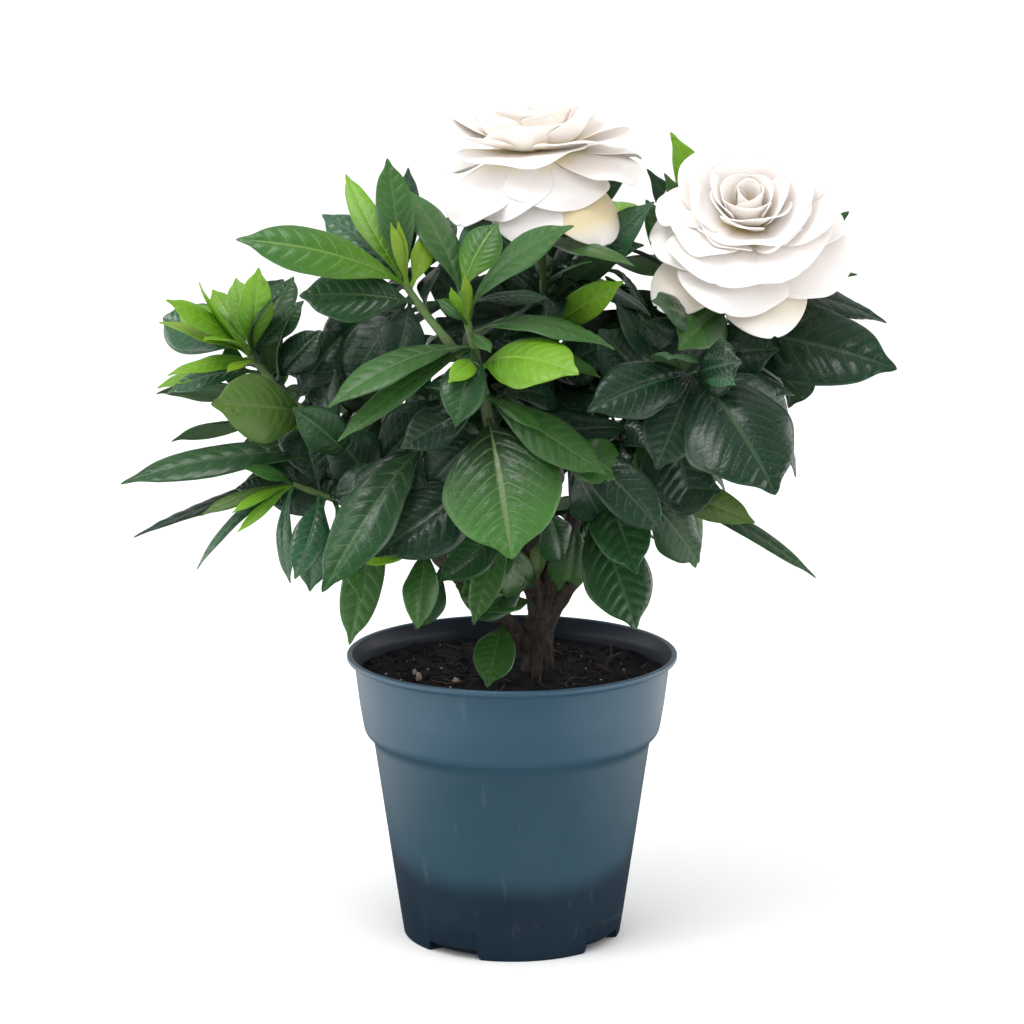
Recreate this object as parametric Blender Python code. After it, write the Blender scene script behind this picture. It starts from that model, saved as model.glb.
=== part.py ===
# Potted gardenia: a small flowering shrub in a moulded plastic nursery pot.
# The origin is the middle of the pot's flat underside, +Z is up and -Y is the front.
# Every length in the tables and the driving dimensions is in millimetres.
import bpy
import numpy as np

MM = 0.001          # Blender works in metres
GAP = 0.35          # clearance left between neighbouring solids

# Pot
POT_HEIGHT = 131.0
LIP_RADIUS = 75.0
COLLAR_TOP_RADIUS = 71.6
COLLAR_BOTTOM_RADIUS = 67.0
COLLAR_BOTTOM_HEIGHT = 95.0
BODY_TOP_RADIUS = 63.0
BODY_TOP_HEIGHT = 91.5
FOOT_RADIUS = 49.7
WALL = 1.6
POT_SIDES = 56

# Drain slots through the base corner
SLOT_COUNT = 4
SLOT_FIRST_ANGLE = -123.0    # degrees from +X; the slots are a quarter turn apart
SLOT_WIDTH = 26.0
SLOT_HEIGHT = 4.6
SLOT_INNER_RADIUS = 42.0

# Soil
SOIL_LEVEL = 121.0
SOIL_MOUND = 2.5             # extra height round the trunk

# Leaves and petals
LEAF_THICKNESS = 0.9
PETAL_THICKNESS = 1.2
LEAF_RINGS = 7
STALK_CLEARANCE = 1.9        # from the bark to the middle of a leaf's stalk end

# Every branch is a list of points on its centre line, with its radius at the two ends.
TRUNK_FOOT = (12, 0, 124)
FORK = (12, 0, 146)
STEMS = {
    "root": ([(11, 4, 62), (12, 2, 95), TRUNK_FOOT], 4.0, 8.2),
    "trunk": ([(12, 1, 116), TRUNK_FOOT, (12, 0, 135), FORK], 8.2, 6.8),
    "stump": ([(12, 0, 98), (11, -14, 108), (11, -20, 119), (11, -21, 129)], 2.5, 2.1),
    "cut_stub": ([(12, 0, 136), (17, 0, 148), (27, -2, 163)], 5.0, 3.4),
    "left": ([(9, 0, 133), (-12, -8, 156), (-37, -12, 182), (-62, -22, 213), (-84, -26, 238),
              (-107, -16, 258), (-117, -10, 271)], 4.2, 1.7),
    "front": ([(12, 0, 138), (11, 0, 155), (5, -5, 176), (-4, -36, 222), (-11, -52, 251),
               (-14, -54, 268), (-18, -52, 284), (-22, -46, 302)], 4.6, 1.6),
    "mid_left": ([(-13, -54, 264), (-26, -52, 279), (-38, -46, 293), (-47, -40, 305)], 2.2, 1.6),
    "flower_left": ([(13, 0, 140), (13, 6, 160), (16, 15, 198), (17, 17, 244), (15, 12, 290),
                     (13, 4, 322)], 4.2, 1.8),
    "right": ([(13, 0, 140), (19, 0, 165), (30, -1, 198), (50, -6, 235), (78, -6, 268),
               (97, 6, 290), (104, 8, 300)], 4.4, 1.8),
    "low_right": ([(48, -6, 232), (63, -30, 250), (80, -48, 266)], 2.6, 1.6),
    "back": ([(13, 2, 142), (16, 20, 175), (22, 44, 220), (28, 64, 272)], 4.0, 1.7),
    "back_left": ([(-20, -8, 166), (-38, 20, 200), (-62, 46, 238), (-74, 58, 268)], 2.8, 1.6),
    "back_right": ([(40, -3, 217), (62, 24, 236), (86, 48, 256), (98, 58, 274)], 2.6, 1.6),
}

# Each leaf: where it sits along its branch (0 to 1), its tip, width, arch and the way it faces.
LEAVES = {
    "left": {
        "leaf_left_whorl_upright": (0.99, (-111, -22, 309), 16, 3, (0, -1, 0.3)),
        "leaf_left_whorl_outer": (0.98, (-151, -30, 296), 13, 3, (0.4, -0.6, 0.8)),
        "leaf_left_whorl_front": (0.97, (-150, -38, 264), 14, 4, (0, -0.5, 1)),
        "leaf_left_whorl_lower": (0.94, (-153, -14, 252), 16, 5, (0, -0.5, 1)),
        "leaf_left_whorl_back": (0.96, (-98, 16, 300), 18, 4, (-0.4, -0.6, 0.5)),
        "leaf_olive": (0.80, (-129, -66, 256), 32, 7, (-0.1, -0.9, 0.4)),
        "leaf_long_left": (0.66, (-171, -44, 217), 23, 7, (-0.2, -0.5, 1)),
        "leaf_low_left": (0.60, (-168, -24, 189), 16, 6, (-0.3, -0.4, 1)),
        "leaf_hanging_left": (0.52, (-72, -38, 143), 19, 4, (-0.2, -1, 0.2)),
        "leaf_hanging_inner": (0.30, (-43, -30, 148), 17, 4, (-0.2, -1, 0.2)),
        "leaf_in_pot": (0.10, (-11, -47, 126), 19, 4, (0, -1, 0.4)),
    },
    "mid_left": {
        "leaf_arching_lime": (0.98, (-118, -58, 326), 23, 9, (0.1, -0.8, 0.6)),
        "leaf_upright": (0.99, (-54, -32, 358), 17, 3, (0, -1, 0.2)),
        "leaf_silver_left": (0.90, (-84, -2, 330), 22, 4, (0.2, -0.8, 0.7)),
        "leaf_mid_left_side": (0.80, (-92, -46, 300), 26, 5, (-0.2, -0.9, 0.6)),
    },
    "front": {
        "leaf_arching_right": (0.99, (-46, -12, 342), 19, 6, (0.5, -0.8, 0.4)),
        "leaf_front_arching_left": (0.98, (-6, -40, 331), 20, 5, (-0.5, -0.8, 0.5)),
        "leaf_front_arching_right": (0.93, (26, -76, 334), 19, 8, (-0.4, -0.5, 0.8)),
        "leaf_front_lime": (0.82, (28, -96, 274), 31, 7, (0.1, -0.8, 0.7)),
        "leaf_front_edge": (0.90, (44, -68, 280), 24, 9, (0.3, -0.35, 1)),
        "leaf_front_long": (0.86, (-78, -86, 258), 20, 8, (-0.3, -0.6, 0.9)),
        "leaf_centre_big": (0.69, (0, -90, 193), 52, 7, (0, -1, 0.3)),
        "leaf_centre_quilted": (0.56, (-60, -70, 190), 36, 5, (-0.2, -1, 0.3)),
        "leaf_centre_hanging": (0.36, (-17, -42, 153), 15, 4, (-0.3, -1, 0.2)),
        "leaf_centre_right": (0.75, (40, -80, 228), 20, 4, (0.3, -1, 0.3)),
    },
    "right": {
        "leaf_stub": (0.12, (42, 24, 193), 18, 3, (0.2, -1, 0.1)),
        "leaf_right_hanging": (0.34, (55, -34, 149), 32, 5, (0.2, -1, 0.2)),
        "leaf_right_lower": (0.42, (54, -60, 180), 27, 5, (0, -1, 0.3)),
        "leaf_right_tip": (0.56, (82, -20, 174), 26, 5, (0.2, -1, 0.2)),
        "leaf_right_wide": (0.84, (169, -28, 265), 40, 7, (0.2, -1, 0.6)),
        "leaf_right_behind": (0.92, (166, 24, 279), 24, 6, (0.1, -0.5, 1)),
        "leaf_between_flowers": (0.90, (60, 22, 334), 18, 6, (-0.3, -0.7, 0.8)),
    },
    "low_right": {
        "leaf_right_big": (0.98, (112, -90, 221), 52, 8, (0.2, -1, 0.5)),
        "leaf_right_dark": (0.60, (79, -50, 205), 36, 5, (0.2, -1, 0.2)),
        "leaf_glossy_curled": (0.90, (66, -82, 278), 20, 6, (-0.2, -0.5, 1)),
    },
    "flower_left": {
        "leaf_silver_centre": (0.90, (58, -14, 318), 18, 4, (-0.2, -0.7, 0.8)),
    },
    "back": {
        "leaf_back_upright": (0.98, (44, 96, 318), 24, 7, (0, 0.5, 1)),
        "leaf_back_wide": (0.92, (6, 128, 262), 36, 8, (0, 0.8, 0.7)),
        "leaf_back_low": (0.62, (52, 104, 196), 34, 7, (0.2, 1, 0.4)),
    },
    "back_left": {
        "leaf_back_left_wide": (0.86, (-60, 118, 214), 36, 7, (-0.2, 1, 0.4)),
    },
    "back_right": {
        "leaf_back_right_high": (0.98, (146, 74, 292), 28, 7, (0.3, 0.5, 1)),
        "leaf_back_right_wide": (0.86, (112, 112, 222), 36, 7, (0.2, 1, 0.4)),
    },
}

# Each flower: the middle of its petals, the way it looks, its radius and the droop of its outer petals.
FLOWERS = {
    "flower_left": {"centre": (12, 0, 336), "axis": (-0.06, -0.16, 0.98), "radius": 45,
                    "droop": 12, "turn": 20, "petals": 5},
    "flower_right": {"centre": (103, -12, 318), "axis": (-0.05, -0.62, 0.78), "radius": 43,
                     "droop": 8, "turn": 54, "petals": 5},
}

COLOURS = {   # linear base colour, roughness, metallic
    "pot_plastic": ((0.045, 0.100, 0.142), 0.42, 0.0),
    "potting_soil": ((0.014, 0.014, 0.018), 0.95, 0.0),
    "bark": ((0.060, 0.042, 0.030), 0.85, 0.0),
    "leaf_green": ((0.022, 0.062, 0.026), 0.38, 0.0),
    "young_leaf_green": ((0.110, 0.240, 0.024), 0.42, 0.0),
    "petal_white": ((0.800, 0.760, 0.690), 0.60, 0.0),
}
YOUNG_LEAVES = ("leaf_left_whorl_upright", "leaf_left_whorl_outer", "leaf_left_whorl_front",
                "leaf_arching_lime", "leaf_front_lime", "leaf_front_arching_left")


def clear_scene():
    for item in list(bpy.data.objects):
        bpy.data.objects.remove(item, do_unlink=True)


def unit(vector):
    vector = np.asarray(vector, float)
    return vector / np.linalg.norm(vector, axis=-1, keepdims=True)


def material(name):
    made = bpy.data.materials.get(name)
    if made is None:
        made = bpy.data.materials.new(name)
        made.use_nodes = True
        colour, roughness, metallic = COLOURS[name]
        shader = made.node_tree.nodes["Principled BSDF"]
        shader.inputs["Base Color"].default_value = (*colour, 1.0)
        shader.inputs["Roughness"].default_value = roughness
        shader.inputs["Metallic"].default_value = metallic
        made.diffuse_color = (*colour, 1.0)
    return made


def add_solid(name, points, faces, material_name):
    """One object from points in millimetres and faces that look outwards."""
    mesh = bpy.data.meshes.new(name)
    mesh.from_pydata((np.asarray(points) * MM).tolist(), [], faces)
    mesh.update()
    mesh.shade_smooth()
    mesh.set_sharp_from_angle(angle=np.radians(35))
    mesh.materials.append(material(material_name))
    made = bpy.data.objects.new(name, mesh)
    bpy.context.collection.objects.link(made)
    return made


def ring_faces(rings, sides, first_index=0):
    """Quads between neighbouring rings that each hold the same number of points."""
    faces = []
    for ring in range(rings - 1):
        low = first_index + ring * sides
        high = low + sides
        for side in range(sides):
            after = (side + 1) % sides
            faces.append((low + side, low + after, high + after, high + side))
    return faces


def turned_solid(name, profile, sides, material_name):
    """A profile of (radius, height) pairs turned about Z. It starts and ends on the axis,
    and it runs up the outside, so the faces look outwards."""
    profile = np.asarray(profile, float)
    angles = np.linspace(0, 2 * np.pi, sides, endpoint=False)
    radii = profile[1:-1, 0, None]
    heights = np.broadcast_to(profile[1:-1, 1, None], (len(radii), sides))
    rings = np.stack([radii * np.cos(angles), radii * np.sin(angles), heights], axis=2)
    first, last = (0, 0, profile[0, 1]), (0, 0, profile[-1, 1])
    points = np.vstack([rings.reshape(-1, 3), first, last])
    count = len(radii)
    faces = ring_faces(count, sides)
    bottom, top = len(points) - 2, len(points) - 1
    base = (count - 1) * sides
    for side in range(sides):
        after = (side + 1) % sides
        faces.append((bottom, after, side))
        faces.append((top, base + side, base + after))
    return add_solid(name, points, faces, material_name)


def cut(target, cutter):
    """Subtract the cutter from the target with an exact Boolean."""
    cutter.hide_render = True
    cutter.display_type = "WIRE"
    boolean = target.modifiers.new("cut", "BOOLEAN")
    boolean.operation = "DIFFERENCE"
    boolean.solver = "EXACT"
    boolean.object = cutter


def inner_radius(height):
    """Inside radius of the pot wall at a height."""
    levels = (0, BODY_TOP_HEIGHT + 1, COLLAR_BOTTOM_HEIGHT + 2, POT_HEIGHT)
    radii = (FOOT_RADIUS, BODY_TOP_RADIUS, COLLAR_BOTTOM_RADIUS, COLLAR_TOP_RADIUS + 0.4)
    return float(np.interp(height, levels, radii)) - WALL


def make_pot():
    lip = LIP_RADIUS
    profile = [
        (0, 0),
        (FOOT_RADIUS - 1.2, 0),
        (FOOT_RADIUS, 1.2),
        (BODY_TOP_RADIUS, BODY_TOP_HEIGHT),
        (COLLAR_BOTTOM_RADIUS - 0.8, COLLAR_BOTTOM_HEIGHT - 0.6),
        (COLLAR_BOTTOM_RADIUS, COLLAR_BOTTOM_HEIGHT + 0.6),
        (COLLAR_TOP_RADIUS, POT_HEIGHT - 3.0),
        (lip - 0.5, POT_HEIGHT - 2.6),
        (lip, POT_HEIGHT - 1.4),
        (lip - 0.5, POT_HEIGHT - 0.3),
        (lip - 1.6, POT_HEIGHT),
        (lip - 2.8, POT_HEIGHT - 0.6),
        (inner_radius(POT_HEIGHT - 5), POT_HEIGHT - 5),
        (inner_radius(COLLAR_BOTTOM_HEIGHT + 2), COLLAR_BOTTOM_HEIGHT + 2),
        (inner_radius(BODY_TOP_HEIGHT + 1), BODY_TOP_HEIGHT + 1),
        (inner_radius(WALL + 0.6), WALL + 0.6),
        (0, WALL + 0.6),
    ]
    pot = turned_solid("pot", profile, POT_SIDES, "pot_plastic")
    for number in range(SLOT_COUNT):
        angle = np.radians(SLOT_FIRST_ANGLE + number * 360 / SLOT_COUNT)
        cut(pot, slot_cutter(f"slot_cutter_{number + 1}", angle))
    return pot


def slot_cutter(name, angle):
    """A block that crosses the base corner, pointing outwards at the angle."""
    outward = np.array([np.cos(angle), np.sin(angle), 0.0])
    across = np.array([-np.sin(angle), np.cos(angle), 0.0])
    corners = []
    for height in (-1.0, SLOT_HEIGHT):
        for reach, side in ((SLOT_INNER_RADIUS, -1), (60, -1), (60, 1), (SLOT_INNER_RADIUS, 1)):
            corners.append(outward * reach + across * side * SLOT_WIDTH / 2 + (0, 0, height))
    faces = [(3, 2, 1, 0), (4, 5, 6, 7), (0, 1, 5, 4), (1, 2, 6, 5), (2, 3, 7, 6), (3, 0, 4, 7)]
    return add_solid(name, corners, faces, "pot_plastic")


def smooth_path(points, count):
    """Points evenly spread along a smooth curve through the given ones."""
    points = np.asarray(points, float)
    steps = np.concatenate([[0], np.cumsum(np.linalg.norm(np.diff(points, axis=0), axis=1))])
    slopes = np.gradient(points, steps, axis=0)
    where = np.linspace(0, steps[-1], count)
    index = np.clip(np.searchsorted(steps, where, side="right") - 1, 0, len(points) - 2)
    span = (steps[index + 1] - steps[index])[:, None]
    t = (where - steps[index])[:, None] / span
    start, end = points[index], points[index + 1]
    leave, arrive = slopes[index] * span, slopes[index + 1] * span
    return (start * (2 * t**3 - 3 * t**2 + 1) + leave * (t**3 - 2 * t**2 + t)
            + end * (3 * t**2 - 2 * t**3) + arrive * (t**3 - t**2))


def tube(name, path, radii, sides, extra=0.0):
    """A closed tapered tube along a path; extra widens it and lengthens both ends."""
    forward = unit(np.gradient(path, axis=0))
    path = path.copy()
    path[0] -= forward[0] * extra
    path[-1] += forward[-1] * extra
    side = unit(np.cross(forward, (0.31, 0.95, 0.05)))
    other = np.cross(forward, side)
    angles = np.linspace(0, 2 * np.pi, sides, endpoint=False)
    wheel = (np.cos(angles)[None, :, None] * side[:, None, :]
             + np.sin(angles)[None, :, None] * other[:, None, :])
    rings = path[:, None, :] + wheel * (np.asarray(radii) + extra)[:, None, None]
    faces = ring_faces(len(path), sides)
    last = (len(path) - 1) * sides
    faces.append(tuple(range(sides - 1, -1, -1)))
    faces.append(tuple(range(last, last + sides)))
    return add_solid(name, rings.reshape(-1, 3), faces, "bark")


def stem_tube(name, extra=0.0, prefix="stem_"):
    points, thick, thin = STEMS[name]
    length = np.linalg.norm(np.diff(np.asarray(points, float), axis=0), axis=1).sum()
    count = max(4, int(length / 17))
    radii = np.linspace(thick, thin, count)
    if name in FLOWERS:
        radii[-1] = 4.2                       # the green calyx cup under the petals
    sides = 12 if thick > 5 else 8
    return tube(prefix + name, smooth_path(points, count), radii, sides, extra)


def merge_into_one(name, pieces):
    """Union the pieces into one body and give the result its own object."""
    first = pieces[0]
    for piece in pieces[1:]:
        union = first.modifiers.new("union", "BOOLEAN")
        union.operation = "UNION"
        union.solver = "EXACT"
        union.object = piece
    graph = bpy.context.evaluated_depsgraph_get()
    mesh = bpy.data.meshes.new_from_object(first.evaluated_get(graph))
    mesh.name = name
    for piece in pieces:
        bpy.data.objects.remove(piece, do_unlink=True)
    made = bpy.data.objects.new(name, mesh)
    bpy.context.collection.objects.link(made)
    return made


def make_stems():
    return merge_into_one("woody_stems", [stem_tube(name) for name in STEMS])


def make_soil():
    """The soil fills the pot with a small gap to the wall, and is cut round the root."""
    clear = GAP * 1.3
    profile = [
        (0, WALL + 0.6 + clear),
        (inner_radius(WALL + 1) - clear, WALL + 0.6 + clear),
        (inner_radius(BODY_TOP_HEIGHT + 1) - clear, BODY_TOP_HEIGHT + 1 + clear),
        (inner_radius(COLLAR_BOTTOM_HEIGHT + 2) - clear, COLLAR_BOTTOM_HEIGHT + 2 + clear),
        (inner_radius(SOIL_LEVEL - 1) - clear, SOIL_LEVEL - 1),
        (inner_radius(SOIL_LEVEL) - 3, SOIL_LEVEL),
        (40, SOIL_LEVEL + 0.5),
        (22, SOIL_LEVEL + SOIL_MOUND),
        (0, SOIL_LEVEL + SOIL_MOUND),
    ]
    soil = turned_solid("soil", profile, 48, "potting_soil")
    for name in ("root", "trunk", "stump"):
        cut(soil, stem_tube(name, extra=GAP, prefix="cutter_"))
    return soil


def blade(name, base, tip, width, arch, face, thickness, material_name, blunt=1.0):
    """A closed thin leaf or petal. Its middle line bends from base to tip in one plane, its
    outline is widest just past the middle, and its cross-section is a thin lens."""
    base, tip = np.asarray(base, float), np.asarray(tip, float)
    length = np.linalg.norm(tip - base)
    along = unit(tip - base)
    normal = unit(np.asarray(face, float) - np.dot(face, along) * along)
    side = np.cross(along, normal)
    u = np.linspace(0, 1, LEAF_RINGS)[:, None]
    rise = arch * (1.5 * 3 * u * (1 - u) ** 2 + 1.2 * 3 * u**2 * (1 - u))
    spine = base + along * length * u + normal * rise
    upward = unit(np.cross(side, np.gradient(spine, axis=0)))
    half = width / 2 * np.sin(np.pi * u**1.15) ** (0.9 / blunt)
    half[0] = 0.9
    half[-1] = 0.0 if blunt == 1.0 else width * 0.16
    across = np.array([-1, -0.5, 0, 0.5, 1, 0.5, 0, -0.5])[None, :, None]
    face_of = np.array([0, 1, 1, 1, 0, -1, -1, -1])[None, :, None]
    lens = thickness / 2 * (1.25 - across**2) * np.clip(half / 3 + 0.4, 0.4, 1)[:, :, None]
    lens[0] = 0.8
    fold = np.abs(across) * half[:, :, None] * 0.16
    points = (spine[:, None, :] + side * across * half[:, :, None]
              + upward[:, None, :] * (face_of * lens + fold))
    if blunt == 1.0:
        points = np.vstack([points[:-1].reshape(-1, 3), spine[-1]])
        faces = ring_faces(LEAF_RINGS - 1, 8)
        start = (LEAF_RINGS - 2) * 8
        faces += [(start + k, start + (k + 1) % 8, len(points) - 1) for k in range(8)]
    else:
        points = points.reshape(-1, 3)
        faces = ring_faces(LEAF_RINGS, 8)
        start = (LEAF_RINGS - 1) * 8
        faces.append(tuple(range(start, start + 8)))
    faces.append(tuple(range(7, -1, -1)))
    return add_solid(name, points, faces, material_name)


def attach_point(branch, where, towards):
    """The spot just off a branch's bark, on the side that looks towards a point."""
    points, thick, thin = STEMS[branch]
    path = smooth_path(points, 101)
    spot = int(round(where * 100))
    forward = unit(path[min(spot + 1, 100)] - path[max(spot - 1, 0)])
    outward = np.asarray(towards, float) - path[spot]
    outward = unit(outward - np.dot(outward, forward) * forward)
    radius = thick + (thin - thick) * where
    return path[spot] + outward * (radius + STALK_CLEARANCE)


def make_leaves():
    for branch, leaves in LEAVES.items():
        for name, (where, tip, width, arch, face) in leaves.items():
            finish = "young_leaf_green" if name in YOUNG_LEAVES else "leaf_green"
            base = attach_point(branch, where, tip)
            blade(name, base, tip, width, arch, face, LEAF_THICKNESS, finish)


def flower_frame(flower):
    """Centre, axis and two directions across a flower."""
    axis = unit(flower["axis"])
    across = unit(np.cross((0, 1, 0.2), axis))
    return np.asarray(flower["centre"], float), axis, across, np.cross(axis, across)


def make_outer_petals(name, flower):
    centre, axis, across, other = flower_frame(flower)
    for number in range(flower["petals"]):
        angle = np.radians(flower["turn"] + number * 360 / flower["petals"])
        outward = across * np.cos(angle) + other * np.sin(angle)
        base = centre + outward * 8 - axis * 1.0
        tip = centre + outward * flower["radius"] - axis * flower["droop"]
        width = flower["radius"] * 0.74
        blade(f"{name}_outer_petal_{number + 1}", base, tip, width, 6, axis, PETAL_THICKNESS,
              "petal_white", blunt=1.6)


def make_middle_petals(name, flower):
    """A shallow lobed dish with six rounded lobes, 1.6 mm thick."""
    centre, axis, across, other = flower_frame(flower)
    sides, steps, lobes = 36, 5, 6
    angles = np.linspace(0, 2 * np.pi, sides, endpoint=False)
    lobed = 0.84 + 0.16 * np.abs(np.cos(lobes / 2 * angles)) ** 0.6
    sheets = []
    for lift in (0.0, 1.6):
        share = np.linspace(0.15, 1, steps)[:, None]
        reach = flower["radius"] * 0.82 * share * (1 + (lobed - 1) * share)
        height = 9.5 + 3.5 * share**2 + 1.2 * share * np.cos(lobes * angles) + lift
        sheets.append(centre + axis * height[..., None]
                      + across * (reach * np.cos(angles))[..., None]
                      + other * (reach * np.sin(angles))[..., None])
    under, over = sheets
    rings = np.concatenate([under, over[::-1]]).reshape(-1, 3)
    points = np.vstack([rings, centre + axis * 9.5, centre + axis * 11.1])
    faces = ring_faces(2 * steps, sides)
    last = (2 * steps - 1) * sides
    for side in range(sides):
        after = (side + 1) % sides
        faces.append((len(points) - 2, after, side))
        faces.append((len(points) - 1, last + side, last + after))
    add_solid(f"{name}_middle_petals", points, faces, "petal_white")


def make_heart(name, flower):
    """The tight inner rosette: a rounded bud whose rim turns in a slow spiral."""
    centre, axis, across, other = flower_frame(flower)
    sides = 20
    angles = np.linspace(0, 2 * np.pi, sides, endpoint=False)
    profile = np.array([(7, 14.6), (14, 18), (17.5, 23), (17, 29), (12, 32.5), (6, 31)])
    swirl = 1 + 0.06 * np.cos(5 * angles[None, :] + profile[:, 1, None] / 4)
    reach = profile[:, 0, None] * swirl
    rings = (centre + axis * profile[:, 1, None, None]
             + across * (reach * np.cos(angles))[..., None]
             + other * (reach * np.sin(angles))[..., None])
    points = np.vstack([rings.reshape(-1, 3), centre + axis * 14.0, centre + axis * 29.5])
    faces = ring_faces(len(profile), sides)
    last = (len(profile) - 1) * sides
    for side in range(sides):
        after = (side + 1) % sides
        faces.append((len(points) - 2, after, side))
        faces.append((len(points) - 1, last + side, last + after))
    add_solid(f"{name}_heart", points, faces, "petal_white")


def main():
    clear_scene()
    make_pot()
    make_soil()
    make_stems()
    make_leaves()
    for name, flower in FLOWERS.items():
        make_outer_petals(name, flower)
        make_middle_petals(name, flower)
        make_heart(name, flower)


main()
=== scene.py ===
import bpy
import numpy as np
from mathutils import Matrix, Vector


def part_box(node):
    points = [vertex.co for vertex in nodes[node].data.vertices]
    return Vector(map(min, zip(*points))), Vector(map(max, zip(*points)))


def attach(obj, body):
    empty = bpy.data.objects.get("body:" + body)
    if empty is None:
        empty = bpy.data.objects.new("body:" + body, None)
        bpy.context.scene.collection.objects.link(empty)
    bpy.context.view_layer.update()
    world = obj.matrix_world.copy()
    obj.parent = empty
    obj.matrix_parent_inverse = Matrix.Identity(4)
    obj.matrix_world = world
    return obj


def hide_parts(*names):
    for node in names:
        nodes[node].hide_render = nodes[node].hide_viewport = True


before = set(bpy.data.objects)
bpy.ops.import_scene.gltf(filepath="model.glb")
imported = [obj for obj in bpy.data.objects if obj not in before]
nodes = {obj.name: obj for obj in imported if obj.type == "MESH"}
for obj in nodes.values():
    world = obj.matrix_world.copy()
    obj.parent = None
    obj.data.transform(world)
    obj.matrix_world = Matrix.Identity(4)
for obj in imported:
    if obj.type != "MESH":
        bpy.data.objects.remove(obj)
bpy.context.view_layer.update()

mm = 0.001
scene = bpy.context.scene
print("frame loaded:", len(nodes), "parts")


# camera, floor and light

viewing = {"place": (0.0, -1.6, 0.518), "tiltDown": 11.4, "lens": 127.5, "exposure": 0.20}

cameraData = bpy.data.cameras.new("studioCamera")
cameraData.lens = viewing["lens"]
cameraData.sensor_width = 36.0
camera = bpy.data.objects.new("studioCamera", cameraData)
camera.location = viewing["place"]
camera.rotation_euler = (np.radians(90 - viewing["tiltDown"]), 0, 0)
scene.collection.objects.link(camera)
scene.camera = camera
scene.view_settings.view_transform = "Standard"
scene.view_settings.exposure = viewing["exposure"]

# soft boxes: place, aim, width, height, power
softBoxes = {
    "topLight": ((-0.35, -0.45, 1.4), (0, 0, 0.25), 0.7, 0.5, 6.5),
    "leftLight": ((-1.1, -0.7, 1.2), (0, 0, 0.25), 0.5, 0.5, 2.0),
}
# the white room: its strength below and above, and how bright its mirror image is in front,
# behind, overhead and at the two sides
room = {"low": 0.86, "high": 0.36, "mirrorFront": 0.03, "mirrorBack": 0.35,
        "mirrorTop": 0.25, "mirrorSide": 3.2}


def aimLight(name, place, aim, width, height, power):
    data = bpy.data.lights.new(name, "AREA")
    data.shape = "RECTANGLE"
    data.size, data.size_y, data.energy = width, height, power
    light = bpy.data.objects.new(name, data)
    forward = unit(np.subtract(aim, place))
    right = unit(np.cross(forward, (0, 0, 1)))
    above = np.cross(right, forward)
    turned = np.eye(4)
    turned[:3, 0], turned[:3, 1], turned[:3, 2], turned[:3, 3] = right, above, -forward, place
    light.matrix_world = turned.T
    scene.collection.objects.link(light)


def unit(vector):
    vector = np.asarray(vector, float)
    return vector / np.maximum(np.linalg.norm(vector, axis=-1, keepdims=True), 1e-12)


def smoothStep(low, high, value):
    t = np.clip((value - low) / (high - low), 0, 1)
    return t * t * (3 - 2 * t)


# node helpers

# Adds a node, sets its options, and gives its inputs either a value or a link from a socket.
def addNode(tree, kind, inputs=None, **options):
    node = tree.nodes.new(kind)
    for option, value in options.items():
        setattr(node, option, value)
    for key, value in (inputs or {}).items():
        if isinstance(value, bpy.types.NodeSocket):
            tree.links.new(value, node.inputs[key])
        else:
            node.inputs[key].default_value = value
    return node


def calc(tree, operation, first, second=0.0, third=0.0):
    values = {0: first, 1: second, 2: third}
    return addNode(tree, "ShaderNodeMath", values, operation=operation).outputs[0]


# The factor moves the colour from the first to the second.
def blendColour(tree, factor, first, second, mode="MIX"):
    first, second = ((*colour, 1.0) if isinstance(colour, tuple) else colour
                     for colour in (first, second))
    return addNode(tree, "ShaderNodeMix", {0: factor, 6: first, 7: second}, data_type="RGBA",
                   blend_type=mode).outputs[2]


# A soft step: 0 under low, 1 over high.
def ramp(tree, value, low, high):
    limits = {"Value": value, "From Min": low, "From Max": high}
    return addNode(tree, "ShaderNodeMapRange", limits,
                   interpolation_type="SMOOTHSTEP").outputs["Result"]


def noise(tree, vector, scale, detail=3.0, roughness=0.55):
    settings = {"Vector": vector, "Scale": scale, "Detail": detail, "Roughness": roughness}
    return addNode(tree, "ShaderNodeTexNoise", settings).outputs["Fac"]


def objectPoint(tree):
    return addNode(tree, "ShaderNodeTexCoord").outputs["Object"]


def stretch(tree, vector, scale):
    return addNode(tree, "ShaderNodeMapping", {"Vector": vector, "Scale": scale}).outputs[0]


def separate(tree, vector):
    return addNode(tree, "ShaderNodeSeparateXYZ", {0: vector}).outputs


def newMaterial(name, roughness=0.5, **sockets):
    made = bpy.data.materials.new(name)
    made.use_nodes = True
    shader = made.node_tree.nodes["Principled BSDF"]
    shader.inputs["Roughness"].default_value = roughness
    for key, value in sockets.items():
        shader.inputs[key.replace("_", " ")].default_value = value
    return made, made.node_tree, shader


# Gives a shader its colour, and where they are given its roughness and a bump from a height.
def feedShader(tree, shader, colour, rough=None, height=None, strength=0.0, distance=0.0):
    tree.links.new(colour, shader.inputs["Base Color"])
    if rough is not None:
        tree.links.new(rough, shader.inputs["Roughness"])
    if height is not None:
        values = {"Strength": strength, "Distance": distance, "Height": height}
        bump = addNode(tree, "ShaderNodeBump", values)
        tree.links.new(bump.outputs[0], shader.inputs["Normal"])


def newGroup(name, inputs, outputs):
    group = bpy.data.node_groups.new(name, "ShaderNodeTree")
    for key, kind, value in inputs:
        socket = group.interface.new_socket(name=key, in_out="INPUT", socket_type=kind)
        if value is not None:
            socket.default_value = value
    for key in outputs:
        group.interface.new_socket(name=key, in_out="OUTPUT", socket_type="NodeSocketFloat")
    return group, group.nodes.new("NodeGroupInput"), group.nodes.new("NodeGroupOutput")


def useGroup(tree, group, inputs):
    return addNode(tree, "ShaderNodeGroup", inputs, node_tree=group).outputs


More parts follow.
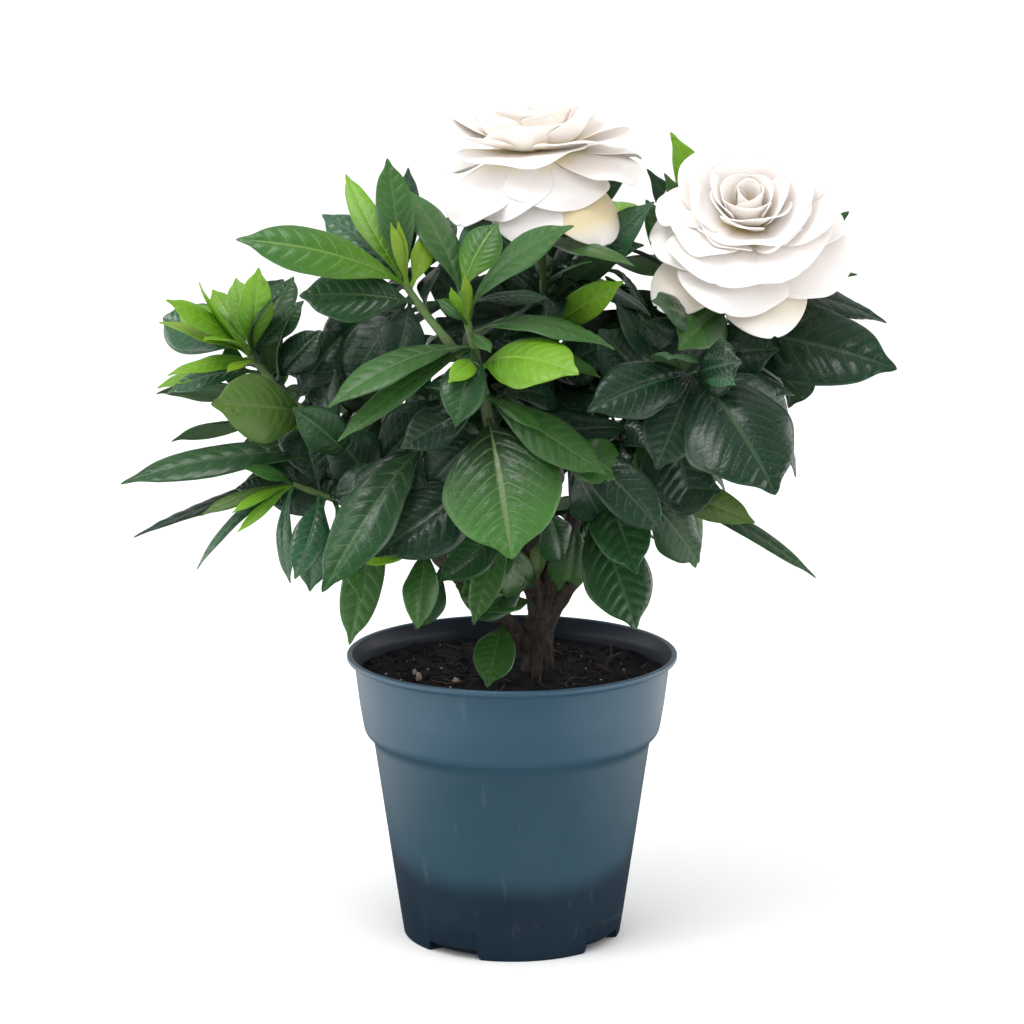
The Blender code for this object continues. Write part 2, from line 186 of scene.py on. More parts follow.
# Uneven tone: broad clouds with a finer speckle over them, from 0 to 1.
def makeMottle():
    group, given, out = newGroup(
        "mottle",
        [("Point", "NodeSocketVector", None), ("Scale", "NodeSocketFloat", 30.0),
         ("Fine", "NodeSocketFloat", 0.3)],
        ["Tone"])
    broad = noise(group, given.outputs["Point"], given.outputs["Scale"], 4.0)
    fineScale = calc(group, "MULTIPLY", given.outputs["Scale"], 9.0)
    fine = noise(group, given.outputs["Point"], fineScale, 2.0)
    mixed = addNode(group, "ShaderNodeMix", {0: given.outputs["Fine"], 2: broad, 3: fine})
    group.links.new(ramp(group, mixed.outputs[0], 0.3, 0.7), out.inputs["Tone"])
    return group


veinAt = 0.58        # where in each step of the vein map a side vein runs


# Leaf marks from the two leaf maps: the midrib, the side veins, the net of small veins, the
# margin, how far along the leaf a spot is, and whether it is on the underside.
def makeLeafMarks():
    group, given, out = newGroup(
        "leafMarks",
        [("Blade", "NodeSocketVector", None), ("Veins", "NodeSocketVector", None),
         ("Point", "NodeSocketVector", None)],
        ["Midrib", "Side", "Net", "Margin", "Along", "Under"])
    blade = separate(group, given.outputs["Blade"])
    veins = separate(group, given.outputs["Veins"])
    under = calc(group, "GREATER_THAN", blade["Y"], 1.5)
    midrib = ramp(group, veins["Y"], 0.075, 0.02)
    wobble = calc(group, "MULTIPLY", noise(group, given.outputs["Point"], 160.0, 1.0), 0.16)
    phase = calc(group, "FRACT", calc(group, "ADD", veins["X"], wobble))
    fromVein = calc(group, "ABSOLUTE", calc(group, "SUBTRACT", phase, veinAt))
    side = calc(group, "MULTIPLY", ramp(group, fromVein, 0.085, 0.020),
                ramp(group, veins["Y"], 0.97, 0.55))
    cells = addNode(group, "ShaderNodeTexVoronoi",
                    {"Vector": given.outputs["Point"], "Scale": 420.0},
                    feature="DISTANCE_TO_EDGE").outputs["Distance"]
    net = ramp(group, cells, 0.10, 0.02)
    margin = ramp(group, veins["Y"], 0.93, 1.0)
    for key, value in (("Midrib", midrib), ("Side", side), ("Net", net), ("Margin", margin),
                       ("Along", blade["X"]), ("Under", under)):
        group.links.new(value, out.inputs[key])
    return group


mottleGroup = makeMottle()
leafMarksGroup = makeLeafMarks()


def mottle(tree, point, scale, fine):
    return useGroup(tree, mottleGroup, {"Point": point, "Scale": scale, "Fine": fine})["Tone"]


# mesh helpers

# Quads of a grid of rows by columns, optionally closed round the columns.
def gridQuads(rows, columns, closed=False, first=0):
    steps = columns if closed else columns - 1
    row, column = np.meshgrid(np.arange(rows - 1), np.arange(steps), indexing="ij")
    after = (column + 1) % columns
    quads = np.stack([row * columns + column, row * columns + after,
                      (row + 1) * columns + after, (row + 1) * columns + column], axis=-1)
    return quads.reshape(-1, 4) + first


# Triangles that close a tube of rings onto the two points that follow the rings.
def endFans(rings, sides):
    turn = np.arange(sides)
    after = (turn + 1) % sides
    last = (rings - 1) * sides
    foot = np.full(sides, rings * sides)
    return np.concatenate([np.stack([foot, after, turn], 1),
                           np.stack([foot + 1, last + turn, last + after], 1)])


# Puts whole arrays into a mesh: points in millimetres, quads, triangles and UV maps by corner.
def buildPiece(name, points, quads, triangles=None, maps=None, material=None):
    triangles = np.zeros((0, 3), int) if triangles is None else np.asarray(triangles)
    corners = np.concatenate([quads.ravel(), triangles.ravel()]).astype(np.int32)
    starts = np.concatenate([np.arange(len(quads)) * 4,
                             len(quads) * 4 + np.arange(len(triangles)) * 3]).astype(np.int32)
    mesh = bpy.data.meshes.new(name)
    mesh.vertices.add(len(points))
    mesh.vertices.foreach_set("co", (np.asarray(points) * mm).astype(np.float32).ravel())
    mesh.loops.add(len(corners))
    mesh.loops.foreach_set("vertex_index", corners)
    mesh.polygons.add(len(starts))
    mesh.polygons.foreach_set("loop_start", starts)
    mesh.polygons.foreach_set("use_smooth", np.ones(len(starts), bool))
    mesh.update(calc_edges=True)
    for key, values in (maps or {}).items():
        layer = mesh.uv_layers.new(name=key)
        layer.data.foreach_set("uv", values.astype(np.float32).ravel())
    mesh.validate()
    if material is not None:
        mesh.materials.append(material)
    piece = bpy.data.objects.new(name, mesh)
    scene.collection.objects.link(piece)
    return piece


# A value at every point, which a material can read by its name.
def addValues(piece, name, values):
    layer = piece.data.attributes.new(name, "FLOAT", "POINT")
    layer.data.foreach_set("value", np.asarray(values, np.float32))


def place(piece, slot, *replaced):
    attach(piece, "root")
    if replaced:
        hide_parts(*replaced)
    return piece


# A thin closed shell from two sheets of the same grid, joined round their edge. Each map is a
# pair of values for every grid point, and the lower sheet's second value stands two higher.
def shellFrom(upper, lower, maps):
    rows, columns = upper.shape[:2]
    count = rows * columns
    top = gridQuads(rows, columns)
    bottom = top[:, ::-1] + count
    index = np.arange(count).reshape(rows, columns)
    rim = np.concatenate([index[0, :-1], index[:-1, -1], index[-1, :0:-1], index[:0:-1, 0]])
    after = np.roll(rim, -1)
    edge = np.stack([after, rim, rim + count, after + count], axis=1)
    quads = np.concatenate([top, bottom, edge])
    points = np.concatenate([upper.reshape(-1, 3), lower.reshape(-1, 3)])
    byCorner = {}
    for key, values in maps.items():
        flat = values.reshape(-1, 2)
        below = flat + (0, 2) if key == "blade" else flat
        both = np.concatenate([flat, below])
        corner = both[quads]
        corner[len(top) + len(bottom):] = np.concatenate([flat, flat])[edge]
        byCorner[key] = corner.reshape(-1, 2)
    return points, quads, byCorner


# Points evenly spread along a smooth curve through the given ones (cubic Hermite spans).
def smoothPath(points, count):
    points = np.asarray(points, float)
    steps = np.concatenate([[0], np.cumsum(np.linalg.norm(np.diff(points, axis=0), axis=1))])
    slopes = np.gradient(points, steps, axis=0)
    where = np.linspace(0, steps[-1], count)
    index = np.clip(np.searchsorted(steps, where, side="right") - 1, 0, len(points) - 2)
    span = (steps[index + 1] - steps[index])[:, None]
    t = (where - steps[index])[:, None] / span
    start, end = points[index], points[index + 1]
    leave, arrive = slopes[index] * span, slopes[index + 1] * span
    return (start * (2 * t**3 - 3 * t**2 + 1) + leave * (t**3 - 2 * t**2 + t)
            + end * (3 * t**2 - 2 * t**3) + arrive * (t**3 - t**2))


# A profile carried along a path: rings of the given radii, closed by a fan at each end.
# The radii may be one number a ring or a whole grid of ring by side.
def tubeAlong(path, radii, sides):
    forward = unit(np.gradient(path, axis=0))
    side = unit(np.cross(forward, (0.31, 0.95, 0.05)))
    other = np.cross(forward, side)
    angles = np.linspace(0, 2 * np.pi, sides, endpoint=False)
    radii = np.asarray(radii, float)
    radii = np.broadcast_to(radii[:, None] if radii.ndim == 1 else radii, (len(path), sides))
    wheel = (np.cos(angles)[None, :, None] * side[:, None, :]
             + np.sin(angles)[None, :, None] * other[:, None, :])
    rings = path[:, None, :] + wheel * radii[:, :, None]
    points = np.concatenate([rings.reshape(-1, 3), path[:1], path[-1:]])
    return points, gridQuads(len(path), sides, closed=True), endFans(len(path), sides)


def joinShapes(shapes):
    points, quads, fans, start = [], [], [], 0
    for shapePoints, shapeQuads, shapeFans in shapes:
        points.append(shapePoints)
        quads.append(shapeQuads + start)
        fans.append(shapeFans + start)
        start += len(shapePoints)
    return np.concatenate(points), np.concatenate(quads), np.concatenate(fans)


def buildJoined(name, shapes, material):
    points, quads, fans = joinShapes(shapes)
    return buildPiece(name, points, quads, fans, material=material)


for lightName, values in softBoxes.items():
    aimLight(lightName, *values)


# The white room is brighter overhead, seen plain white, and mirrored by its own strengths.
def makeRoom():
    world = bpy.data.worlds.new("studioWorld")
    scene.world = world
    world.use_nodes = True
    tree = world.node_tree
    background = tree.nodes["Background"]
    background.inputs["Color"].default_value = (1.0, 1.0, 1.0, 1.0)
    aim = separate(tree, addNode(tree, "ShaderNodeTexCoord").outputs["Generated"])
    overhead = calc(tree, "MAXIMUM", aim["Z"], 0.0)
    soft = calc(tree, "MULTIPLY_ADD", overhead, room["high"], room["low"])
    mirror = calc(tree, "MULTIPLY_ADD", overhead, room["mirrorTop"], room["mirrorFront"])
    behind = ramp(tree, aim["Y"], -0.2, 0.8)
    mirror = calc(tree, "MULTIPLY_ADD", behind, room["mirrorBack"], mirror)
    beside = ramp(tree, calc(tree, "ABSOLUTE", aim["X"]), 0.60, 0.92)
    levelWith = ramp(tree, calc(tree, "ABSOLUTE", aim["Z"]), 0.45, 0.15)
    sideways = calc(tree, "MULTIPLY", beside, levelWith)
    mirror = calc(tree, "MULTIPLY_ADD", sideways, room["mirrorSide"], mirror)
    rays = addNode(tree, "ShaderNodeLightPath").outputs
    lit = addNode(tree, "ShaderNodeMix", {0: rays["Is Glossy Ray"], 2: soft, 3: mirror})
    shown = addNode(tree, "ShaderNodeMix", {0: rays["Is Camera Ray"], 2: lit.outputs[0], 3: 1.0})
    tree.links.new(shown.outputs[0], background.inputs["Strength"])


makeRoom()

floorSize = 16000.0      # half its side, in millimetres


# A pale matt floor. Shiny parts mirror a strip of it in front of the plant that is painted dark
# for glossy rays only, a painted dark reflection, and the pale rest beside it.
def makeFloorMaterial():
    made, tree, shader = newMaterial("paleFloor", 0.9, Specular_IOR_Level=0.1)
    point = objectPoint(tree)
    pale = blendColour(tree, noise(tree, point, 3.0), (0.955, 0.955, 0.955),
                       (0.965, 0.965, 0.965))
    mirrored = addNode(tree, "ShaderNodeLightPath").outputs["Is Glossy Ray"]
    # painted dark reflection: glossy rays see this strip of floor nearly black
    paintedDarkStrip = ramp(tree, calc(tree, "ABSOLUTE", separate(tree, point)["X"]), 0.30, 0.09)
    colour = blendColour(tree, calc(tree, "MULTIPLY", mirrored, paintedDarkStrip), pale, (0.08, 0.09, 0.10))
    feedShader(tree, shader, colour)
    return made


floorCorners = np.array([(-1, -1, 0), (1, -1, 0), (1, 1, 0), (-1, 1, 0)]) * floorSize
floor = buildPiece("studioFloor", floorCorners, np.array([[0, 1, 2, 3]]),
                   material=makeFloorMaterial())
print("camera, floor and light ready")


# pot

pot = {
    "height": 131.0, "lip": 75.0, "collarTop": 71.6, "collarBottom": 67.0,
    "collarBottomHeight": 95.0, "bodyTop": 63.0, "bodyTopHeight": 91.5, "foot": 49.7,
    "wall": 1.4, "floorLift": 2.2,
    "slotAngle": -123.0, "slotCount": 4, "slotHalfAngle": 15.2, "slotHeight": 4.6,
    "slotInner": 42.0, "sides": 288,
    "bodyMiddleHeight": 45.0, "collarMiddle": 69.3, "collarMiddleInner": 68.2,
    "collarMiddleHeight": 109.0,
    "squeezed": 12.0,      # the lowest stretch of the wall, which makes way for the slots
}


# Fillets each corner of a polyline of (radius, height, rounding) with a short quadratic arc.
def roundedProfile(corners, steps=5):
    points = np.array([c[:2] for c in corners], float)
    out = [points[:1]]
    for k in range(1, len(points) - 1):
        rounding = corners[k][2]
        before, here, after = points[k - 1], points[k], points[k + 1]
        inReach = min(rounding, np.linalg.norm(here - before) * 0.49)
        outReach = min(rounding, np.linalg.norm(after - here) * 0.49)
        start = here + unit(before - here) * inReach
        end = here + unit(after - here) * outReach
        t = np.linspace(0, 1, steps)[:, None]
        out.append((1 - t) ** 2 * start + 2 * t * (1 - t) * here + t**2 * end)
    out.append(points[-1:])
    return np.concatenate(out)


# The pot is a profile turned about Z. Inside each drain slot the wall's lower edge is lifted to
# the slot's height and the floor plate is drawn in, as a function of the angle.
def makePot():
    wall, lip, top = pot["wall"], pot["lip"], pot["height"]
    foot, bodyTop, bodyTopHeight = pot["foot"], pot["bodyTop"], pot["bodyTopHeight"]
    collarTop, collarBottom = pot["collarTop"], pot["collarBottom"]
    middle, collarMiddle = pot["bodyMiddleHeight"], pot["collarMiddleHeight"]
    squeezed, slotHeight = pot["squeezed"], pot["slotHeight"]
    angles = np.linspace(0, 2 * np.pi, pot["sides"], endpoint=False)
    middles = np.radians(pot["slotAngle"] + np.arange(pot["slotCount"]) * 360 / pot["slotCount"])
    away = np.abs((angles[:, None] - middles + np.pi) % (2 * np.pi) - np.pi).min(axis=1)
    halfSlot = np.radians(pot["slotHalfAngle"])
    inSlot = smoothStep(halfSlot + 0.012, halfSlot - 0.012, away)
    slope = (bodyTop - foot) / bodyTopHeight
    wallCorners = [
        (foot - wall, 0.9, 0), (foot - wall * 0.9, 0.0, 0.5), (foot - 0.1, 0.0, 0.7),
        (foot + slope * squeezed, squeezed, 1), (foot + slope * middle, middle, 1),
        (bodyTop, bodyTopHeight, 3.0), (collarBottom, pot["collarBottomHeight"], 2.4),
        (pot["collarMiddle"], collarMiddle, 1), (collarTop, top - 3.4, 1.4),
        (lip - 0.2, top - 2.6, 0.8), (lip, top - 0.2, 1.1), (lip - 2.2, top, 1.0),
        (lip - 3.2, top - 1.6, 1.0), (collarTop - wall - 0.4, top - 6, 2),
        (pot["collarMiddleInner"] - wall + 0.9, collarMiddle, 1),
        (collarBottom - wall, pot["collarBottomHeight"] + 1.4, 2),
        (bodyTop - wall, bodyTopHeight + 1.2, 2), (foot - wall + slope * middle, middle, 1),
        (foot - wall, 0.9, 0),
    ]
    profile = roundedProfile(wallCorners)
    radii = np.repeat(profile[:, :1], len(angles), axis=1)
    heights = np.repeat(profile[:, 1:], len(angles), axis=1)
    # the lowest stretch of the wall is squeezed upwards where a slot is
    low = heights < squeezed
    lifted = slotHeight + heights * (squeezed - slotHeight) / squeezed
    heights = np.where(low, heights + (lifted - heights) * inSlot, heights)
    radii = np.where(low, radii + slope * (lifted * inSlot), radii)
    wallShape = turnGrid(radii[:-1], heights[:-1], angles)
    edge = (foot - 0.6) + (pot["slotInner"] - foot + 0.6) * inSlot
    plate = roundedProfile([(0.06, 0, 0), (0.6, 0, 0), (1, 0, 0.02), (1, pot["floorLift"], 0.02),
                            (0.6, pot["floorLift"], 0), (0.06, pot["floorLift"], 0)], 3)
    plateShape = turnGrid(plate[:, :1] * edge, np.repeat(plate[:, 1:], len(angles), 1), angles,
                          capped=True)
    piece = buildJoined("nursery_pot", [wallShape, plateShape], makePotPlastic())
    piece.data.set_sharp_from_angle(angle=np.radians(50))
    lipTop = int(profile[:, 1].argmax()) + 3
    within = np.repeat(np.arange(len(profile) - 1) > lipTop, len(angles))
    within = np.concatenate([within, np.zeros(len(piece.data.vertices) - len(within))])
    addValues(piece, "inside", within)
    return place(piece, "pot_plastic", "pot")


# Radius and height grids (step by angle) turned about Z. A capped shape is closed by a fan at
# each end, and any other is closed back on itself.
def turnGrid(radii, heights, angles, capped=False):
    rings = np.stack([radii * np.cos(angles), radii * np.sin(angles),
                      np.broadcast_to(heights, radii.shape)], axis=-1)
    steps, sides = radii.shape
    points = rings.reshape(-1, 3)
    if not capped:
        around = np.arange(steps + 1) % steps
        quads = gridQuads(steps + 1, sides, closed=True)
        quads = around[quads // sides] * sides + quads % sides
        return points, quads, np.zeros((0, 3), int)
    points = np.concatenate([points, [(0, 0, heights[0, 0]), (0, 0, heights[-1, 0])]])
    return points, gridQuads(steps, sides, closed=True), endFans(steps, sides)


# Blue moulded plastic: a darker band round the foot with a soft upper edge, a lighter collar, an
# inside painted nearly black as painted shade, fine moulding rings and a few long scuffs.
def makePotPlastic():
    made, tree, shader = newMaterial("potPlastic", 0.42, Coat_Weight=0.15, Coat_Roughness=0.24)
    point = objectPoint(tree)
    parts = separate(tree, point)
    tone = mottle(tree, point, 14.0, 0.2)
    edgeWander = calc(tree, "MULTIPLY", noise(tree, point, 14.0, 2.0), 0.006)
    level = calc(tree, "ADD", parts["Z"], edgeWander)
    # the darker foot band reaches lower at the front
    level = calc(tree, "MULTIPLY_ADD", ramp(tree, parts["Y"], 0.0, -0.055), 0.007, level)
    aboveFoot = ramp(tree, level, 0.038, 0.052)
    # the collar is a lighter blue
    collar = ramp(tree, parts["Z"], 0.0905, 0.0955)
    body = blendColour(tree, tone, (0.015, 0.056, 0.084), (0.020, 0.066, 0.098))
    footColour = blendColour(tree, tone, (0.002, 0.017, 0.034), (0.004, 0.022, 0.043))
    colour = blendColour(tree, aboveFoot, footColour, body)
    colour = blendColour(tree, calc(tree, "MULTIPLY", collar, 0.75), colour, (0.025, 0.076, 0.122))
    # the whole inside is painted nearly black: painted shade inside the pot
    inside = addNode(tree, "ShaderNodeAttribute", attribute_name="inside").outputs["Fac"]
    paintedShadeInside = blendColour(tree, tone, (0.003, 0.009, 0.024), (0.006, 0.015, 0.034))
    colour = blendColour(tree, inside, colour, paintedShadeInside)
    scuffs = noise(tree, stretch(tree, point, (260.0, 260.0, 14.0)), 1.0, 2.0)
    scuffMask = ramp(tree, scuffs, 0.66, 0.74)
    colour = blendColour(tree, calc(tree, "MULTIPLY", scuffMask, 0.05), colour,
                         (0.22, 0.30, 0.36))
    dustSpots = ramp(tree, noise(tree, point, 190.0, 2.0), 0.66, 0.72)
    nearFoot = ramp(tree, parts["Z"], 0.030, 0.004)
    colour = blendColour(tree, calc(tree, "MULTIPLY", dustSpots, calc(
        tree, "MULTIPLY_ADD", nearFoot, 0.25, 0.05)), colour, (0.09, 0.085, 0.075))
    rough = calc(tree, "MULTIPLY_ADD", tone, 0.10, 0.36)
    rough = calc(tree, "MULTIPLY_ADD", scuffMask, 0.15, rough)
    rough = calc(tree, "MULTIPLY_ADD", inside, 0.35, rough)
    rings = addNode(tree, "ShaderNodeTexWave", {"Vector": point, "Scale": 260.0, "Distortion": 1.5,
                                                "Detail": 1.0}, bands_direction="Z")
    height = calc(tree, "ADD", calc(tree, "MULTIPLY", rings.outputs["Fac"], 0.25),
                  noise(tree, point, 900.0, 2.0))
    feedShader(tree, shader, colour, rough, height, 0.12, 0.0003)
    return made


makePot()
print("pot made")


# soil

soil = {"level": 121.0, "mound": 2.5, "rings": 110, "sides": 260, "crumbs": 1500, "perlite": 26,
        "fibres": 34, "inner": 70.2, "fibreReach": 66.0,
        # radius and height of the pot's inner wall, from its floor to the step under its collar
        "skirt": [(47.6, 2.7), (60.2, 86.8), (65.0, 93.6)], "skirtTop": 117.5}
trunkAt = np.array([12.0, 0.0])


# Lumpy height: a sum of turned sine waves of falling size, with random phases.
def lumps(x, y, seed, size=26.0, octaves=6):
    draw = np.random.default_rng(seed)
    total = np.zeros_like(x)
    for _ in range(octaves):
        for _ in range(5):
            angle, phase = draw.uniform(0, 2 * np.pi, 2)
            wave = 2 * np.pi / size * draw.uniform(0.8, 1.3)
            total += np.sin((x * np.cos(angle) + y * np.sin(angle)) * wave + phase) * size / 26
        size *= 0.56
    return total / 5


# The soil's surface: its level, a low bell-shaped mound round the trunk, and the lumps.
def soilHeight(x, y):
    fromTrunk = np.hypot(x - trunkAt[0], y - trunkAt[1])
    mound = soil["mound"] * np.exp(-(fromTrunk / 26) ** 2)
    return soil["level"] + mound + 1.1 * lumps(x, y, 5)


# The soil is a disc of heights on a polar grid, with a skirt that follows the pot's inside down
# to its floor.
def makeSoil():
    angles = np.linspace(0, 2 * np.pi, soil["sides"], endpoint=False)
    share = np.linspace(1, 0.012, soil["rings"])[:, None]
    rim = soil["inner"] - 1.2
    radii = np.broadcast_to(share * rim, (soil["rings"], soil["sides"]))
    x, y = radii * np.cos(angles), radii * np.sin(angles)
    heights = soilHeight(x, y)
    skirt = np.array([*soil["skirt"], (rim, soil["skirtTop"])])
    skirtRadii = np.repeat(skirt[:, :1], soil["sides"], 1)
    skirtHeights = np.repeat(skirt[:, 1:], soil["sides"], 1)
    shape = turnGrid(np.concatenate([skirtRadii, radii]), np.concatenate([skirtHeights, heights]),
                     angles, capped=True)
    piece = buildJoined("potting_soil", [shape], makeSoilMaterial("pottingSoil"))
    return place(piece, "potting_soil", "soil")


def makeSoilMaterial(name, pale=0.0):
    made, tree, shader = newMaterial(name, 0.95)
    shader.inputs["Specular IOR Level"].default_value = 0.2
    point = objectPoint(tree)
    tone = mottle(tree, point, 120.0, 0.5)
    colour = blendColour(tree, tone, (0.006, 0.007, 0.012), (0.022 + pale, 0.021 + pale, 0.028))
    flecks = ramp(tree, noise(tree, point, 700.0, 2.0), 0.66, 0.72)
    colour = blendColour(tree, calc(tree, "MULTIPLY", flecks, 0.7), colour, (0.050, 0.040, 0.034))
    feedShader(tree, shader, colour, None, noise(tree, point, 520.0, 6.0, 0.7), 0.8, 0.0012)
    return made


# A lump of a few dozen faces: a small sphere grid pushed in and out by a random radius.
def lumpShape(centre, size, draw, rows=4, sides=6):
    polar = np.linspace(0, np.pi, rows + 2)[1:-1, None]
    angles = np.linspace(0, 2 * np.pi, sides, endpoint=False) + draw.uniform(0, 6)
    reach = size * draw.uniform(0.65, 1.15, (rows, sides))
    squash = draw.uniform(0.55, 1.0, 3)
    rings = np.stack([reach * np.sin(polar) * np.cos(angles), reach * np.sin(polar) * np.sin(angles),
                      -reach * np.cos(polar)], axis=-1) * squash
    ends = np.array([(0, 0, -size), (0, 0, size)]) * squash * 0.9
    points = np.concatenate([rings.reshape(-1, 3), ends]) + centre
    return points, gridQuads(rows, sides, closed=True), endFans(rows, sides)


def lumpOnSoil(x, y, size, lift, draw, *grid):
    height = float(soilHeight(np.array(float(x)), np.array(float(y))))
    return lumpShape(np.array([x, y, height + size * lift]), size, draw, *grid)


# A random place on the soil, evenly spread within a reach of the middle.
def strewn(draw, reach):
    radius, angle = reach * np.sqrt(draw.uniform(0, 1)), draw.uniform(0, 2 * np.pi)
    return radius * np.cos(angle), radius * np.sin(angle)


# Lumps strewn on the soil, many small and few large, and none against the trunk.
def scatterLumps(name, count, low, high, seed, material):
    draw = np.random.default_rng(seed)
    shapes = []
    for _ in range(count):
        x, y = strewn(draw, 66)
        if np.hypot(x - trunkAt[0], y - trunkAt[1]) < 10:
            continue
        size = low + (high - low) * draw.uniform(0, 1) ** 3
        shapes.append(lumpOnSoil(x, y, size, 0.2, draw))
    return place(buildJoined(name, shapes, material), "potting_soil")


def makePerliteMaterial():
    made, tree, shader = newMaterial("perlite", 0.8)
    point = objectPoint(tree)
    tone = mottle(tree, point, 260.0, 0.5)
    colour = blendColour(tree, tone, (0.16, 0.11, 0.08), (0.62, 0.56, 0.50))
    feedShader(tree, shader, colour, None, noise(tree, point, 900.0, 3.0), 0.6, 0.0006)
    return made


# Perlite grains: a few placed where they catch the eye, and small ones strewn about.
perliteGrains = [(-42, -13, 2.6), (-44, -5, 1.8), (-25, -20, 2.2), (40, -17, 1.0), (-57, -6, 1.0),
                 (-38, 2, 0.9), (-50, -16, 0.9)]


def makePerlite():
    draw = np.random.default_rng(21)
    spots = list(perliteGrains)
    for _ in range(soil["perlite"]):
        spots.append((*strewn(draw, 64), draw.uniform(0.4, 0.9)))
    shapes = [lumpOnSoil(x, y, size, 0.45, draw, 6, 9) for x, y, size in spots]
    return place(buildJoined("perlite_grains", shapes, makePerliteMaterial()), "potting_soil")


# Root fibres: thin bent tubes that lie on the soil, and one forked root that stands up.
def makeFibres():
    made, tree, shader = newMaterial("rootFibre", 0.8)
    tone = mottle(tree, objectPoint(tree), 60.0, 0.4)
    feedShader(tree, shader, blendColour(tree, tone, (0.035, 0.022, 0.014), (0.16, 0.10, 0.055)))
    draw = np.random.default_rng(33)
    shapes = []
    for _ in range(soil["fibres"]):
        x, y = strewn(draw, 60)
        heading = draw.uniform(0, 2 * np.pi) + np.cumsum(draw.uniform(-0.6, 0.6, 6))
        steps = draw.uniform(1.5, 3.4) * np.stack([np.cos(heading), np.sin(heading)], 1)
        route = np.concatenate([[(x, y)], (x, y) + np.cumsum(steps, axis=0)])
        reach = np.hypot(route[:, 0], route[:, 1])
        route *= np.minimum(1, soil["fibreReach"] / np.maximum(reach, 1))[:, None]
        lift = draw.uniform(0, 1.2, len(route)) + 0.5
        height = soilHeight(route[:, 0], route[:, 1]) + lift
        path = smoothPath(np.column_stack([route, height]), 18)
        shapes.append(tubeAlong(path, np.linspace(0.28, 0.1, 18), 6))
    standing = [[(43, 2, 120), (43, 1, 125), (45, 1, 130), (44.5, 2, 135)],
                [(43.5, 1, 127), (47, 0, 129.5), (50, 0, 130.5)],
                [(36, 4, 121), (41, 3, 123), (44, 3, 122)]]
    for route in standing:
        path = smoothPath(route, 16)
        shapes.append(tubeAlong(path, np.linspace(0.42, 0.16, 16), 7))
    return place(buildJoined("root_fibres", shapes, made), "potting_soil")


makeSoil()
scatterLumps("soil_crumbs", soil["crumbs"], 0.4, 1.9, 11, makeSoilMaterial("soilCrumbs", 0.012))
makePerlite()
makeFibres()
print("soil made")


# woody stems

# Each branch: points on its centre line in millimetres, its radius at both ends, and how green
# it is at its two ends.
stems = {
    "trunk": ([(12, 2, 100), (12, 0, 120), (12, 0, 133), (12, 0, 147)], 7.6, 6.2, 0, 0),
    "stump": ([(11, -19, 114), (11, -20, 122), (11, -21, 129)], 2.6, 2.0, 0, 0),
    "cutStub": ([(12, 0, 134), (17, 0, 148), (27, -2, 163)], 5.2, 3.2, 0, 0),
    "left": ([(9, 0, 132), (-12, -8, 156), (-37, -12, 182), (-62, -22, 213), (-84, -26, 238),
              (-107, -16, 258), (-117, -10, 271)], 4.4, 1.6, 0, 0.9),
    "front": ([(12, 0, 138), (11, 0, 155), (5, -5, 176), (-4, -36, 222), (-11, -52, 251),
               (-14, -54, 268), (-18, -52, 284), (-22, -46, 302)], 4.8, 1.5, 0, 0.9),
    "midLeft": ([(-13, -54, 264), (-26, -52, 279), (-38, -46, 293), (-47, -40, 305)],
                2.2, 1.5, 0.5, 1),
    "flowerLeft": ([(13, 0, 140), (13, 6, 160), (16, 15, 198), (17, 17, 244), (15, 12, 290),
                    (13, 4, 322)], 4.4, 1.8, 0, 1),
    "right": ([(13, 0, 140), (19, 0, 165), (30, -1, 198), (50, -6, 235), (78, -6, 268),
               (97, 6, 290), (104, 8, 300)], 4.6, 1.8, 0, 1),
    "lowRight": ([(48, -6, 232), (63, -30, 250), (80, -48, 266)], 2.6, 1.5, 0.2, 0.8),
    "lowLeft": ([(-40, -13, 186), (-70, -32, 204), (-96, -40, 216)], 2.2, 1.1, 0.2, 0.9),
    "innerLeft": ([(-24, -10, 168), (-36, -32, 200), (-40, -52, 235)], 2.2, 1.2, 0.1, 0.8),
    "lowFront": ([(-10, -7, 154), (-24, -26, 172), (-38, -42, 190)], 2.4, 1.5, 0, 0.2),
    "centreTwig": ([(6, -4, 174), (14, -28, 204), (24, -56, 240)], 2.2, 1.2, 0.1, 0.8),
    "rightTwig": ([(29, -1, 196), (46, -24, 206), (60, -40, 214)], 2.2, 1.2, 0.1, 0.8),
    "backMid": ([(21, 42, 216), (-8, 58, 256), (-24, 66, 292)], 2.4, 1.3, 0.1, 0.8),
    "backHigh": ([(17, 17, 244), (36, 44, 286), (46, 56, 316)], 2.2, 1.3, 0.1, 0.8),
    "rightSide": ([(80, -5, 270), (112, 24, 268), (134, 34, 274)], 2.2, 1.2, 0.2, 0.8),
    "leftSide": ([(-60, -21, 211), (-94, 8, 228), (-122, 28, 242)], 2.2, 1.2, 0.1, 0.8),
    "back": ([(13, 2, 142), (16, 20, 175), (22, 44, 220), (28, 64, 272)], 4.2, 1.6, 0, 0.8),
    "backLeft": ([(-20, -8, 166), (-38, 20, 200), (-62, 46, 238), (-74, 58, 268)],
                 2.9, 1.5, 0, 0.8),
    "backRight": ([(40, -3, 217), (62, 24, 236), (86, 48, 256), (98, 58, 274)], 2.7, 1.5, 0, 0.8),
}


